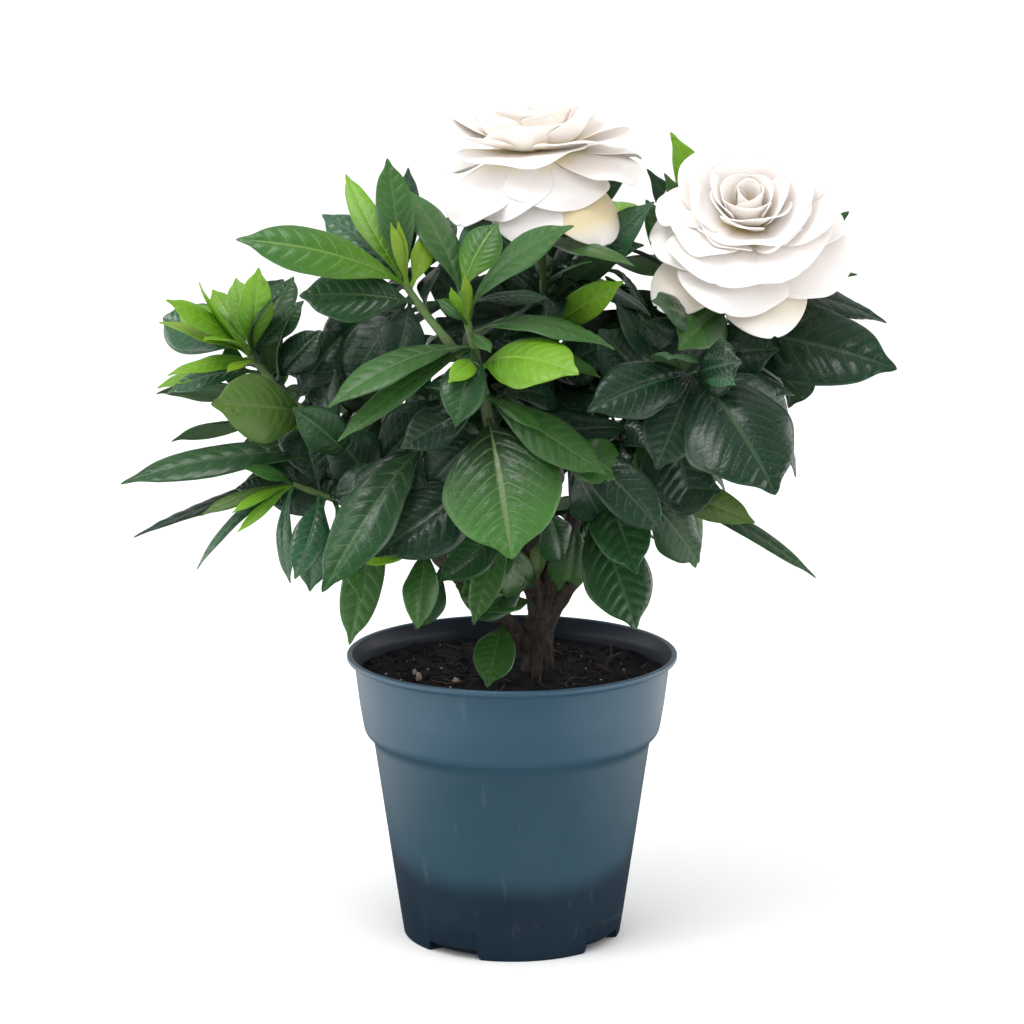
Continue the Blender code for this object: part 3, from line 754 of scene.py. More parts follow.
# A branch is a tube whose radius tapers, swells at each leaf node and is roughened by ridges
# that run along the bark. The values say how green it is at every point.
def branchShape(name, sides=20):
    points, thick, thin, greenStart, greenEnd = stems[name]
    length = np.linalg.norm(np.diff(np.asarray(points, float), axis=0), axis=1).sum()
    count = max(14, int(length / 1.6))
    path = smoothPath(points, count)
    share = np.linspace(0, 1, count)
    radii = thick + (thin - thick) * share
    node = np.exp(-(((share * length + 5) % 19 - 9.5) / 1.5) ** 2) * 0.32
    if name == "trunk":
        node = np.zeros(count)
        radii = radii + 1.4 * np.exp(-((share * length - 17) / 7) ** 2)
    angles = np.linspace(0, 2 * np.pi, sides, endpoint=False)
    along = share[:, None] * length
    woody = 1 - (greenStart + (greenEnd - greenStart) * share)[:, None]
    ridge = (np.sin(angles * 5 + along * 0.21) + np.sin(angles * 9 - along * 0.37 + 1.3)
             + 0.7 * np.sin(angles * 3 + along * 0.9))
    grid = radii[:, None] * (1 + 0.045 * woody * ridge) + node[:, None]
    shape = tubeAlong(path, grid, sides)
    green = greenStart + (greenEnd - greenStart) * share
    value = np.concatenate([np.repeat(green, sides), [greenStart, greenEnd]])
    return shape, value


def makeStems():
    shapes, values = zip(*[branchShape(name, 40 if name == "trunk" else 20) for name in stems])
    piece = buildJoined("stems", shapes, barkMaterial)
    addValues(piece, "green", np.concatenate(values))
    return place(piece, "bark", "woody_stems")


# Bark: grey-brown cork with darker cracks along the stem and pale lenticels, which turns to a
# smooth green skin on young shoots.
def makeBark():
    made, tree, shader = newMaterial("bark", 0.85)
    point = objectPoint(tree)
    green = addNode(tree, "ShaderNodeAttribute", attribute_name="green").outputs["Fac"]
    grain = noise(tree, stretch(tree, point, (520.0, 520.0, 150.0)), 1.0, 5.0, 0.65)
    tone = mottle(tree, point, 70.0, 0.4)
    wood = blendColour(tree, ramp(tree, grain, 0.36, 0.62), (0.012, 0.009, 0.008),
                       (0.062, 0.043, 0.032))
    wood = blendColour(tree, calc(tree, "MULTIPLY", tone, 0.45), wood, (0.034, 0.036, 0.026))
    spots = ramp(tree, noise(tree, point, 380.0, 1.0), 0.66, 0.70)
    wood = blendColour(tree, calc(tree, "MULTIPLY", spots, 0.5), wood, (0.11, 0.075, 0.05))
    skin = blendColour(tree, tone, (0.045, 0.095, 0.022), (0.085, 0.150, 0.035))
    colour = blendColour(tree, ramp(tree, green, 0.45, 0.8), wood, skin)
    rough = calc(tree, "MULTIPLY_ADD", green, -0.35, 0.88)
    height = calc(tree, "MULTIPLY", grain, calc(tree, "SUBTRACT", 1.15, green))
    feedShader(tree, shader, colour, rough, height, 0.9, 0.0014)
    return made


barkMaterial = makeBark()
makeStems()
print("stems made")


# leaves

# Linear colours of a leaf at its base and tip, of its veins and underside, then its roughness,
# how much light passes through, how deep it is quilted between its veins and its waxy gloss.
leafLooks = {
    # the dark look is partly the leaves' own deep mature green and partly painted shade, for leaves
    # that lie in shade within the crown
    "dark": {"base": (0.005, 0.021, 0.011), "tip": (0.009, 0.035, 0.016),
             "vein": (0.034, 0.075, 0.035), "under": (0.029, 0.069, 0.027),
             "rough": 0.29, "through": 0.02, "quilt": 1.3, "gloss": 0.15},
    "deep": {"base": (0.009, 0.037, 0.011), "tip": (0.016, 0.067, 0.018),
             "vein": (0.052, 0.106, 0.040), "under": (0.043, 0.097, 0.029),
             "rough": 0.31, "through": 0.04, "quilt": 1.1, "gloss": 0.15},
    "bright": {"base": (0.010, 0.032, 0.013), "tip": (0.045, 0.150, 0.022),
               "vein": (0.129, 0.194, 0.076), "under": (0.069, 0.132, 0.040),
               "rough": 0.33, "through": 0.05, "quilt": 1.5, "gloss": 0.1},
    "mid": {"base": (0.019, 0.070, 0.013), "tip": (0.033, 0.107, 0.019),
            "vein": (0.069, 0.132, 0.040), "under": (0.065, 0.132, 0.032),
            "rough": 0.36, "through": 0.06, "quilt": 0.8, "gloss": 0.1},
    "silver": {"base": (0.015, 0.062, 0.027), "tip": (0.031, 0.099, 0.046),
               "vein": (0.077, 0.145, 0.072), "under": (0.073, 0.132, 0.052),
               "rough": 0.27, "through": 0.04, "quilt": 1.2, "gloss": 0.3},
    "olive": {"base": (0.036, 0.079, 0.013), "tip": (0.064, 0.123, 0.019),
              "vein": (0.095, 0.150, 0.036), "under": (0.065, 0.110, 0.024),
              "rough": 0.42, "through": 0.08, "quilt": 0.6, "gloss": 0.08},
    "lime": {"base": (0.069, 0.180, 0.008), "tip": (0.146, 0.308, 0.011),
             "vein": (0.189, 0.352, 0.036), "under": (0.129, 0.246, 0.036),
             "rough": 0.38, "through": 0.16, "quilt": 0.6, "gloss": 0.1},
    "fresh": {"base": (0.069, 0.180, 0.008), "tip": (0.034, 0.112, 0.024),
              "vein": (0.120, 0.230, 0.040), "under": (0.085, 0.170, 0.032),
              "rough": 0.35, "through": 0.12, "quilt": 0.8, "gloss": 0.12},
    "bud": {"base": (0.112, 0.216, 0.010), "tip": (0.189, 0.304, 0.014),
            "vein": (0.206, 0.321, 0.032), "under": (0.163, 0.255, 0.032),
            "rough": 0.42, "through": 0.16, "quilt": 0.15, "gloss": 0.08},
}
leafForm = {"mainSteps": (76, 20), "crownSteps": (48, 14), "fillSteps": (32, 10),
            "thickness": 0.32, "stalkHalf": 0.85, "stalkLength": 3.0, "sideVeins": 10,
            "fold": 0.13, "roll": 0.55, "wave": 0.5}


# Leaf skin: tone runs from base to tip, veins are paler, the underside is matt and pale with
# raised veins, and there are a few rusty freckles.
def makeLeafMaterial(name, look):
    made, tree, shader = newMaterial("leaf" + name.capitalize(), look["rough"],
                                     Subsurface_Weight=look["through"], Subsurface_Scale=0.002,
                                     Coat_Weight=look["gloss"], Coat_Roughness=0.22)
    shader.inputs["Subsurface Radius"].default_value = (0.35, 1.0, 0.12)
    shader.inputs["Specular IOR Level"].default_value = 0.4
    point = objectPoint(tree)
    blade = addNode(tree, "ShaderNodeUVMap", uv_map="blade").outputs[0]
    veins = addNode(tree, "ShaderNodeUVMap", uv_map="veins").outputs[0]
    marks = useGroup(tree, leafMarksGroup, {"Blade": blade, "Veins": veins, "Point": point})
    tone = mottle(tree, point, 34.0, 0.3)
    along = ramp(tree, marks["Along"], 0.15, 0.95)
    colour = blendColour(tree, along, look["base"], look["tip"])
    shade = calc(tree, "MULTIPLY_ADD", tone, 0.35, 0.82)
    greys = addNode(tree, "ShaderNodeCombineXYZ", {0: shade, 1: shade, 2: shade}).outputs[0]
    colour = blendColour(tree, 1.0, colour, greys, "MULTIPLY")
    lines = calc(tree, "MAXIMUM", marks["Midrib"], calc(tree, "MULTIPLY", marks["Side"], 0.55))
    lines = calc(tree, "MAXIMUM", lines, calc(tree, "MULTIPLY", marks["Net"], 0.07))
    colour = blendColour(tree, lines, colour, look["vein"])
    colour = blendColour(tree, calc(tree, "MULTIPLY", marks["Margin"], 0.4), colour, look["vein"])
    under = blendColour(tree, calc(tree, "MULTIPLY", lines, 0.6), look["under"], look["vein"])
    colour = blendColour(tree, marks["Under"], colour, under)
    freckles = ramp(tree, noise(tree, point, 230.0, 1.0), 0.72, 0.76)
    colour = blendColour(tree, calc(tree, "MULTIPLY", freckles, 0.35), colour,
                         (0.060, 0.045, 0.018))
    rough = calc(tree, "MULTIPLY_ADD", tone, 0.12, look["rough"] - 0.06)
    rough = calc(tree, "MULTIPLY_ADD", marks["Under"], 0.22, rough)
    relief = calc(tree, "MULTIPLY", marks["Net"], -0.35)
    relief = calc(tree, "MULTIPLY_ADD", marks["Side"], -0.5, relief)
    upside = calc(tree, "MULTIPLY_ADD", marks["Under"], -2.0, 1.0)
    relief = calc(tree, "MULTIPLY_ADD", noise(tree, point, 240.0, 2.0), 0.5,
                  calc(tree, "MULTIPLY", relief, upside))
    feedShader(tree, shader, colour, rough, relief, 0.35, 0.0004)
    return made


# The leaf is one function of u (stalk to tip) and v (edge to edge). Its middle line is a cubic
# arch from base to tip. Across it, the blade folds up from the midrib, rolls down to the
# margins, swells between its side veins and waves at the edge, with a groove over the midrib and
# a rib under it.
def leafSheets(base, tip, width, arch, face, look, draw, steps, stem=1.0):
    form = leafForm
    base, tip = np.asarray(base, float), np.asarray(tip, float)
    length = np.linalg.norm(tip - base)
    chord = unit(tip - base)
    normal = unit(np.asarray(face, float) - np.dot(face, chord) * chord)
    side = np.cross(chord, normal)
    scale = min(1.0, width / 30)
    finish = min(1.0, steps[0] / 60)      # small leaves on coarse grids are quilted less
    spread = np.linspace(0, 1, steps[0])[:, None]
    u = 0.6 * spread + 0.4 * (1 - np.cos(np.pi * spread)) / 2
    v = np.linspace(-1, 1, steps[1] + 1)[None, :]
    rise = arch * (4.5 * u * (1 - u) ** 2 + 3.6 * u**2 * (1 - u))
    sweep = draw.normal(0, 0.018) * length * np.sin(np.pi * u)
    spine = base + chord * length * u + normal * rise + side * sweep
    twist = draw.normal(0, 0.16) * (u - 0.2) + 0.10 * draw.normal() * np.sin(2 * np.pi * u)
    tangent = unit(np.gradient(spine, axis=0))
    upward = unit(np.cross(side, tangent))
    across = np.cross(tangent, upward)
    turned = across * np.cos(twist) + upward * np.sin(twist)
    raised = upward * np.cos(twist) - across * np.sin(twist)
    stalk = np.clip((stem + form["stalkLength"]) / length, 0.03, 0.22)
    p = np.clip((u - stalk) / (1 - stalk), 0, 1)
    body = np.sin(np.pi * p**1.15) ** 0.82
    taper = 1 - 0.34 * np.exp(-(((p - 0.94) / 0.06) ** 2))
    thin = form["stalkHalf"] * min(1, width / 14 + 0.3)
    half = np.sqrt((width / 2 * body * taper) ** 2 + (thin * (1 - p) ** 3 + 0.12) ** 2)
    half = half * (1 + 0.02 * np.sin(u * 17 + draw.uniform(0, 6)) + 0 * v)
    x = v * half
    reach = np.abs(x)
    slant = reach * 0.55 + reach**2 / width * 0.9
    offset = np.where(v < 0, 0.35, 0.0)
    phase = (p * length - slant) / length * form["sideVeins"] + offset + 0.5
    # nothing on a side vein, fullest midway between two
    swell = np.abs(np.sin(np.pi * (phase - veinAt))) ** 0.8
    inBlade = smoothStep(0.04, 0.30, np.abs(v)) * (1 - 0.9 * smoothStep(0.72, 1.0, np.abs(v)))
    quilt = look["quilt"] * finish * scale * swell * inBlade * smoothStep(0.05, 0.2, p) * (
        1 - smoothStep(0.85, 1, p))
    fold = form["fold"] * draw.uniform(0.6, 1.5) * (np.sqrt(x**2 + 0.8) - np.sqrt(0.8))
    roll = form["roll"] * draw.uniform(0.4, 1.3) * x**2 / width
    wave = form["wave"] * scale * draw.uniform(0.5, 1.8) * np.abs(v) ** 2.5 * np.sin(
        u * draw.uniform(12, 19) + draw.uniform(0, 6) + (v > 0) * 1.7) * np.sin(np.pi * p)
    groove = 0.45 * scale * np.exp(-(x / 0.9) ** 2) * np.sin(np.pi * np.clip(p, 0.05, 0.95))
    height = fold - roll + quilt + wave - groove
    upper = (spine[:, None, :] + turned[:, None, :] * x[..., None]
             + raised[:, None, :] * height[..., None])
    rib = (0.9 - 0.6 * p) * np.exp(-(x / 0.75) ** 2) * (0.3 + 0.7 * scale)
    neck = (1.3 - form["thickness"]) * smoothStep(stalk * 1.6, stalk * 0.4, u) * thin * (
        1 - 0.5 * v**2)
    lower = upper - raised[:, None, :] * (form["thickness"] + rib + neck)[..., None]
    full = np.ones_like(x)
    maps = {"blade": np.stack([u * full, 0.5 + 0.5 * v * full], -1),
            "veins": np.stack([phase, np.abs(v) * full], -1)}
    return upper, lower, maps


def readArray(items, key, width):
    values = np.empty(len(items) * width)
    items.foreach_get(key, values)
    return values.reshape(-1, width)


# What a plain leaf of the frame says about itself: its stalk end, its tip, its width, its arch
# and the way it faces. The stalk end holds a ring of points, and the tip holds one.
def readLeaf(node):
    mesh = nodes[node].data
    points = np.unique(np.round(readArray(mesh.vertices, "co", 3) / mm, 3), axis=0)
    normals = readArray(mesh.polygons, "normal", 3)
    areas = readArray(mesh.polygons, "area", 1)
    _, turned = np.linalg.eigh((normals * areas).T @ normals)
    facing = turned[:, 2]
    middle = points.mean(axis=0)
    flat = points - middle
    flat = flat - np.outer(flat @ facing, facing)
    _, _, axes = np.linalg.svd(flat, full_matrices=False)
    along = (points - middle) @ axes[0]
    nearLow, nearHigh = along < along.min() + 2.0, along > along.max() - 2.0
    farEnd = nearHigh
    if nearLow.sum() < nearHigh.sum():
        nearLow, nearHigh = nearHigh, nearLow
    nearTip = along > along.max() - 0.8 if nearHigh is farEnd else along < along.min() + 0.8
    base, tip = points[nearLow].mean(axis=0), points[nearTip].mean(axis=0)
    chord = unit(tip - base)
    facing = unit(facing - np.dot(facing, chord) * chord)
    lifted = (points - base) @ facing
    if lifted.mean() < 0:
        facing, lifted = -facing, -lifted
    sideways = (points - base) @ np.cross(chord, facing)
    width = 2 * np.abs(sideways).max()
    central = np.abs(sideways) < 0.1 * width
    return base, tip, width, float(lifted[central].max()) - 0.5, facing


leafMaterials = {name: makeLeafMaterial(name, look) for name, look in leafLooks.items()}

# Which leaves of the frame have which look; the rest are deep green.
lookGroups = {
    "lime": ("left_whorl_upright", "left_whorl_outer", "left_whorl_front", "front_lime"),
    "fresh": ("arching_lime", "front_arching_left"),
    "olive": ("olive",),
    "silver": ("left_whorl_lower", "silver_left", "silver_centre"),
    "bright": ("centre_big",),
    "mid": ("hanging_left", "in_pot", "upright", "arching_right", "front_arching_right",
            "front_edge", "front_long", "centre_hanging", "centre_right", "right_tip",
            "between_flowers"),
    "dark": ("low_left", "centre_quilted", "right_wide", "right_behind", "right_big",
             "right_dark"),
}
leafLookOf = {"leaf_" + leaf: look for look, leaves in lookGroups.items() for leaf in leaves}
leafDraw = np.random.default_rng(7)

# every stem's middle line with its radius, to seat the leaf stalks on
stemLines = {name: smoothPath(values[0], 60) for name, values in stems.items()}
stemCloud = np.concatenate(list(stemLines.values()))
stemThick = np.concatenate([np.linspace(values[1], values[2], 60) for values in stems.values()])


def nearestStem(point):
    index = np.linalg.norm(stemCloud - point, axis=1).argmin()
    return stemCloud[index], stemThick[index]


# One piece from many leaves, with a material for each look they have.
def makeLeaves(name, leaves, steps, young, *replaced):
    looks = sorted({leaf[5] for leaf in leaves})
    points, quads, maps, indexes, start = [], [], [], [], 0
    for base, tip, width, arch, face, look in leaves:
        base, thick = nearestStem(np.asarray(base, float))
        upper, lower, leafMaps = leafSheets(base, tip, width, arch, face, leafLooks[look],
                                            leafDraw, steps, thick)
        shellPoints, shellQuads, shellMaps = shellFrom(upper, lower, leafMaps)
        points.append(shellPoints)
        quads.append(shellQuads + start)
        maps.append(shellMaps)
        indexes.append(np.full(len(shellQuads), looks.index(look)))
        start += len(shellPoints)
    joined = {key: np.concatenate([one[key] for one in maps]) for key in maps[0]}
    piece = buildPiece(name, np.concatenate(points), np.concatenate(quads), maps=joined)
    for look in looks:
        piece.data.materials.append(leafMaterials[look])
    piece.data.polygons.foreach_set("material_index", np.concatenate(indexes).astype(np.int32))
    return place(piece, "young_leaf_green" if young else "leaf_green", *replaced)


leafNodes = sorted(name for name in nodes if name.startswith("leaf_"))
youngLooks = ("lime", "fresh", "bud")
for node in leafNodes:
    nodeLook = leafLookOf.get(node, "deep")
    makeLeaves(node + "_blade", [(*readLeaf(node), nodeLook)], leafForm["mainSteps"],
               nodeLook in youngLooks, node)
print("frame leaves made:", len(leafNodes))


# One piece for a stem's grown leaves and one for its young ones.
def makeByAge(grownName, youngName, leaves, steps):
    for name, young in ((grownName, False), (youngName, True)):
        chosen = [leaf for leaf in leaves if (leaf[5] in youngLooks) == young]
        if chosen:
            makeLeaves(name, chosen, steps, young)


# Smaller leaves of the crown, by stem: how far along the stem each grows, its tip in
# millimetres, its width, its arch, the way it faces and its look.
crownLeaves = {
    "left": [
        (0.98, (-123, 4, 301), 14, 2, (0, -1, 0.2), "lime"),
        (0.98, (-137, -26, 303), 11, 3, (-0.7, -0.4, 0.6), "lime"),
        (0.98, (-155, -22, 285), 12, 3, (0.2, -0.5, 1), "bud"),
        (0.98, (-134, -40, 280), 13, 3, (0, -0.4, 1), "lime"),
        (0.98, (-92, -12, 293), 14, 3, (-0.3, -0.9, 0.4), "deep"),
        (1.00, (-158, 26, 280), 25, 5, (0, -0.9, 0.4), "silver"),
        (1.00, (-134, 10, 295), 12, 3, (0.1, -1, 0.3), "lime"),
        (0.97, (-158, -6, 253), 14, 3, (0, -0.4, 1), "lime"),
        (0.98, (-103, 22, 298), 19, 5, (-0.2, -1, 0.3), "dark"),
        (1.00, (-149, -8, 289), 17, 4, (0, -0.7, 0.8), "lime"),
        (0.97, (-124, -42, 266), 6, 2, (0, -0.4, 1), "bud"),
        (0.12, (-25, -24, 167), 14, 3, (0, -0.9, 0.5), "mid"),
        (0.64, (-95, -52, 252), 19, 5, (0, -1, 0.3), "deep"),
        (0.75, (-117, -44, 238), 9, 4, (0, -0.6, 0.8), "lime"),
        (0.63, (-110, -30, 207), 27, 6, (0, -1, 0.3), "dark"),
        (0.83, (-74, -8, 279), 25, 5, (0, -1, 0.4), "dark"),
        (0.59, (-32, -20, 250), 25, 5, (0.1, -1, 0.3), "dark"),
        (0.53, (-80, -34, 239), 27, 5, (0, -1, 0.3), "dark"),
        (0.44, (-58, -30, 220), 27, 5, (0, -1, 0.3), "dark"),
        (0.90, (-84, -20, 281), 18, 4, (-0.1, -1, 0.4), "dark"),
    ],
    "midLeft": [
        (1.00, (-73, -12, 349), 12, 4, (0.2, -1, 0.3), "lime"),
        (1.00, (-101, -16, 310), 12, 5, (0, -0.6, 0.9), "olive"),
        (0.93, (-52, -50, 332), 5, 1, (0.2, -1, 0.1), "bud"),
        (0.93, (-49, -46, 332), 5, 1, (-0.3, -1, 0.1), "bud"),
        (0.92, (-37, -34, 325), 10, 2, (0.2, -1, 0.2), "bud"),
        (1.00, (-46, 6, 350), 12, 3, (0, -1, 0.2), "dark"),
        (0.88, (-71, -16, 253), 25, 6, (-0.1, -1, 0.3), "dark"),
        (0.98, (-85, 12, 266), 22, 5, (0, -1, 0.3), "dark"),
        (0.88, (-51, -38, 270), 20, 5, (0.1, -1, 0.2), "dark"),
        (0.95, (-27, 10, 328), 16, 4, (-0.2, -1, 0.3), "silver"),
    ],
    "front": [
        (0.83, (-27, -82, 268), 10, 4, (0.2, -0.7, 0.8), "lime"),
        (0.86, (-74, -84, 243), 12, 7, (-0.2, -0.7, 0.7), "mid"),
        (0.86, (-24, -84, 249), 20, 6, (0, -1, 0.3), "deep"),
        (0.97, (16, -48, 299), 12, 3, (0, -0.35, 1), "dark"),
        (0.92, (-20, -62, 311), 5, 1, (0.2, -1, 0.1), "bud"),
        (0.92, (-26, -66, 306), 5, 1, (-0.3, -1, 0.2), "lime"),
        (0.92, (-32, -66, 301), 7, 2, (0, -0.8, 0.6), "mid"),
        (0.90, (-9, -76, 280), 7, 2, (0.2, -0.8, 0.6), "mid"),
        (1.00, (-7, -18, 336), 17, 4, (-0.3, -1, 0.4), "silver"),
        (0.75, (13, -76, 246), 8, 3, (0.4, -0.9, 0.3), "mid"),
        (0.66, (-37, -50, 216), 26, 5, (0, -1, 0.3), "dark"),
        (0.60, (-22, -42, 208), 24, 5, (0.1, -1, 0.3), "dark"),
        (0.73, (-48, -64, 236), 19, 6, (-0.2, -1, 0.4), "dark"),
        (0.68, (3, -48, 219), 21, 5, (0.2, -1, 0.3), "dark"),
        (0.29, (-17, -34, 170), 20, 4, (-0.1, -1, 0.3), "mid"),
        (0.08, (-11, -30, 156), 10, 3, (0, -0.8, 0.7), "mid"),
        (0.12, (-9, -30, 182), 24, 4, (0.2, -1, 0.4), "mid"),
        (0.20, (-22, -34, 166), 22, 4, (-0.1, -1, 0.3), "mid"),
        (0.34, (-32, -38, 172), 20, 4, (-0.2, -1, 0.2), "deep"),
        (0.12, (11, -12, 189), 9, 3, (0.5, -1, 0.2), "olive"),
        (0.16, (-18, -30, 152), 16, 4, (-0.2, -1, 0.3), "deep"),
    ],
    "innerLeft": [
        (1.00, (-81, -92, 179), 26, 8, (-0.2, -1, 0.3), "deep"),
        (1.00, (-69, -60, 204), 24, 6, (0, -1, 0.3), "dark"),
        (1.00, (-54, -44, 188), 23, 6, (0, -1, 0.2), "dark"),
    ],
    "lowLeft": [
        (0.81, (-94, -66, 179), 15, 4, (0.1, -1, 0.1), "silver"),
        (0.78, (-89, -42, 168), 16, 4, (0, -1, 0.1), "silver"),
        (1.00, (-97, -52, 174), 8, 6, (-0.6, -1, 0.1), "silver"),
        (0.71, (-65, -72, 171), 12, 4, (0.3, -1, 0.1), "mid"),
        (1.00, (-135, -60, 206), 8, 3, (0, -0.5, 0.9), "olive"),
        (1.00, (-138, -50, 180), 7, 7, (-0.3, -0.6, 0.8), "silver"),
        (1.00, (-115, -62, 227), 8, 2, (0.2, -0.8, 0.6), "mid"),
        (1.00, (-119, -62, 199), 5, 1, (0, -0.8, 0.5), "lime"),
        (1.00, (-121, -64, 208), 5, 1, (0, -0.8, 0.5), "lime"),
        (0.95, (-111, -20, 232), 19, 4, (0, -1, 0.5), "dark"),
        (0.90, (-122, -30, 212), 14, 4, (0, -0.7, 0.8), "dark"),
        (0.81, (-94, -20, 245), 25, 5, (0.1, -1, 0.3), "dark"),
        (0.75, (-51, -60, 222), 21, 5, (0.1, -1, 0.3), "dark"),
    ],
    "lowFront": [
        (1.00, (-68, -64, 186), 13, 4, (-0.1, -0.9, 0.5), "lime"),
        (1.00, (-41, -62, 156), 16, 4, (0, -1, 0.1), "mid"),
        (1.00, (-52, -30, 214), 16, 3, (0, -1, 0.3), "dark"),
        (1.00, (-31, -54, 212), 7, 2, (0, -1, 0.3), "lime"),
    ],
    "centreTwig": [
        (0.98, (47, -70, 224), 22, 5, (0.1, -1, 0.4), "mid"),
        (0.98, (65, -78, 201), 22, 6, (0.3, -1, 0.3), "dark"),
        (0.88, (8, -48, 208), 17, 4, (-0.1, -1, 0.3), "mid"),
        (0.85, (39, -30, 198), 22, 5, (0.2, -1, 0.3), "dark"),
        (0.49, (22, -10, 175), 18, 4, (0.2, -1, 0.2), "deep"),
    ],
    "right": [
        (0.31, (24, 0, 155), 20, 4, (0.3, -1, 0.1), "mid"),
        (0.98, (152, -14, 305), 12, 3, (0, -0.7, 0.7), "mid"),
        (0.90, (72, -52, 277), 25, 8, (0.1, -1, 0.5), "mid"),
        (0.97, (168, 10, 280), 20, 5, (0.2, -0.7, 0.8), "dark"),
        (0.95, (151, 18, 329), 18, 4, (0, -1, 0.5), "deep"),
        (0.93, (70, 4, 366), 19, 4, (0.1, -1, 0.2), "lime"),
        (0.93, (60, 10, 349), 16, 4, (0.2, -1, 0.4), "dark"),
        (0.92, (67, -8, 349), 16, 4, (0.2, -1, 0.4), "mid"),
        (0.83, (60, -62, 300), 20, 4, (0, -0.9, 0.5), "deep"),
        (0.64, (38, -30, 283), 25, 5, (0, -1, 0.4), "dark"),
        (0.73, (56, -30, 287), 22, 5, (0, -1, 0.4), "dark"),
        (0.59, (61, -34, 230), 27, 5, (0, -1, 0.3), "dark"),
        (0.76, (117, -30, 274), 27, 5, (0, -1, 0.4), "dark"),
    ],
    "rightTwig": [
        (0.92, (91, -50, 215), 26, 5, (0.2, -1, 0.4), "dark"),
        (1.00, (106, -52, 201), 15, 3, (0.1, -1, 0.3), "olive"),
        (0.92, (83, -28, 178), 22, 4, (0.2, -1, 0.2), "deep"),
        (0.71, (39, -20, 232), 22, 4, (0, -1, 0.4), "dark"),
        (1.00, (134, -40, 174), 12, 6, (0.8, -0.4, 0.5), "deep"),
    ],
    "lowRight": [
        (1.00, (32, -78, 255), 26, 6, (-0.1, -1, 0.4), "dark"),
        (1.00, (55, -60, 258), 17, 4, (0, -1, 0.4), "dark"),
        (1.00, (62, -66, 227), 25, 6, (0, -1, 0.3), "dark"),
        (1.00, (98, -70, 275), 26, 5, (0.2, -1, 0.4), "dark"),
        (1.00, (122, -30, 234), 30, 6, (0.3, -1, 0.3), "dark"),
        (1.00, (95, -76, 266), 10, 3, (0.2, -1, 0.4), "silver"),
    ],
    "flowerLeft": [
        (0.81, (62, -22, 338), 20, 5, (-0.1, -1, 0.5), "silver"),
        (0.80, (48, -40, 319), 14, 4, (0.5, 0.3, 1), "dark"),
        (0.85, (34, -46, 315), 10, 3, (0, -0.7, 0.8), "mid"),
        (0.97, (52, -60, 315), 12, 6, (-0.1, -0.6, 0.9), "mid"),
        (0.75, (48, -44, 306), 15, 3, (0.2, -1, 0.3), "lime"),
        (0.71, (38, -62, 267), 8, 2, (0, -0.9, 0.5), "mid"),
        (0.95, (42, 26, 359), 12, 4, (-0.2, -1, 0.3), "mid"),
        (0.93, (54, 30, 350), 13, 4, (-0.2, -1, 0.3), "deep"),
        (0.86, (-19, 20, 332), 17, 4, (0.2, -1, 0.4), "silver"),
        (0.75, (-5, -20, 277), 21, 4, (0, -1, 0.4), "dark"),
        (0.82, (-5, 2, 308), 15, 4, (-0.1, -1, 0.3), "dark"),
        (0.70, (-41, 2, 307), 25, 5, (0.1, -1, 0.3), "dark"),
        (0.63, (-34, -4, 284), 25, 5, (0, -1, 0.3), "dark"),
        (0.78, (-25, 4, 293), 26, 5, (-0.1, -1, 0.3), "dark"),
        (0.84, (44, -6, 322), 20, 5, (0.1, -1, 0.3), "dark"),
        (0.63, (43, -24, 277), 25, 5, (0, -1, 0.4), "dark"),
        (0.58, (34, -30, 238), 27, 5, (0, -1, 0.3), "dark"),
        (0.53, (-5, -20, 227), 25, 5, (0, -1, 0.3), "dark"),
    ],
}


def makeCrown():
    for stem, rows in crownLeaves.items():
        line = stemLines[stem]
        leaves = [(line[int(round(row[0] * 59))], *row[1:]) for row in rows]
        makeByAge(f"{stem}_crown_leaves", f"{stem}_young_leaves", leaves, leafForm["crownSteps"])


makeCrown()
print("crown leaves made:", sum(len(rows) for rows in crownLeaves.values()))

# Leaves that fill the sides and the back: whorls along each stem, kept inside the crown.
filling = {
    "stems": {"left": (0.45, 0.98), "midLeft": (0.3, 0.98), "flowerLeft": (0.35, 0.92),
              "right": (0.42, 0.95), "lowRight": (0.2, 0.98), "front": (0.5, 0.85),
              "back": (0.3, 1.0),
              "backLeft": (0.35, 1.0), "backRight": (0.3, 1.0), "backMid": (0.3, 1.0),
              "backHigh": (0.3, 1.0), "rightSide": (0.3, 1.0), "leftSide": (0.3, 1.0)},
    "spacing": 11.0, "perWhorl": 3, "length": (44, 78), "slimness": (0.36, 0.47),
    "nearest": -30,      # no filling leaf reaches further forward than this
    "gap": (18, 36, 214, 60),      # the open space over the trunk: middle, half width, top, back
    "front": (4, 128, 205, 330),      # in front of this: half width, bottom and top of the crown
    "halfWidth": 160,
    "across": (-165, -130, -100, -60, 0, 60, 90, 130, 165),
    "lowest": (200, 205, 196, 180, 168, 165, 196, 216, 250),
    "highest": (284, 292, 302, 340, 348, 348, 346, 326, 280),
    "deepest": 122,
}


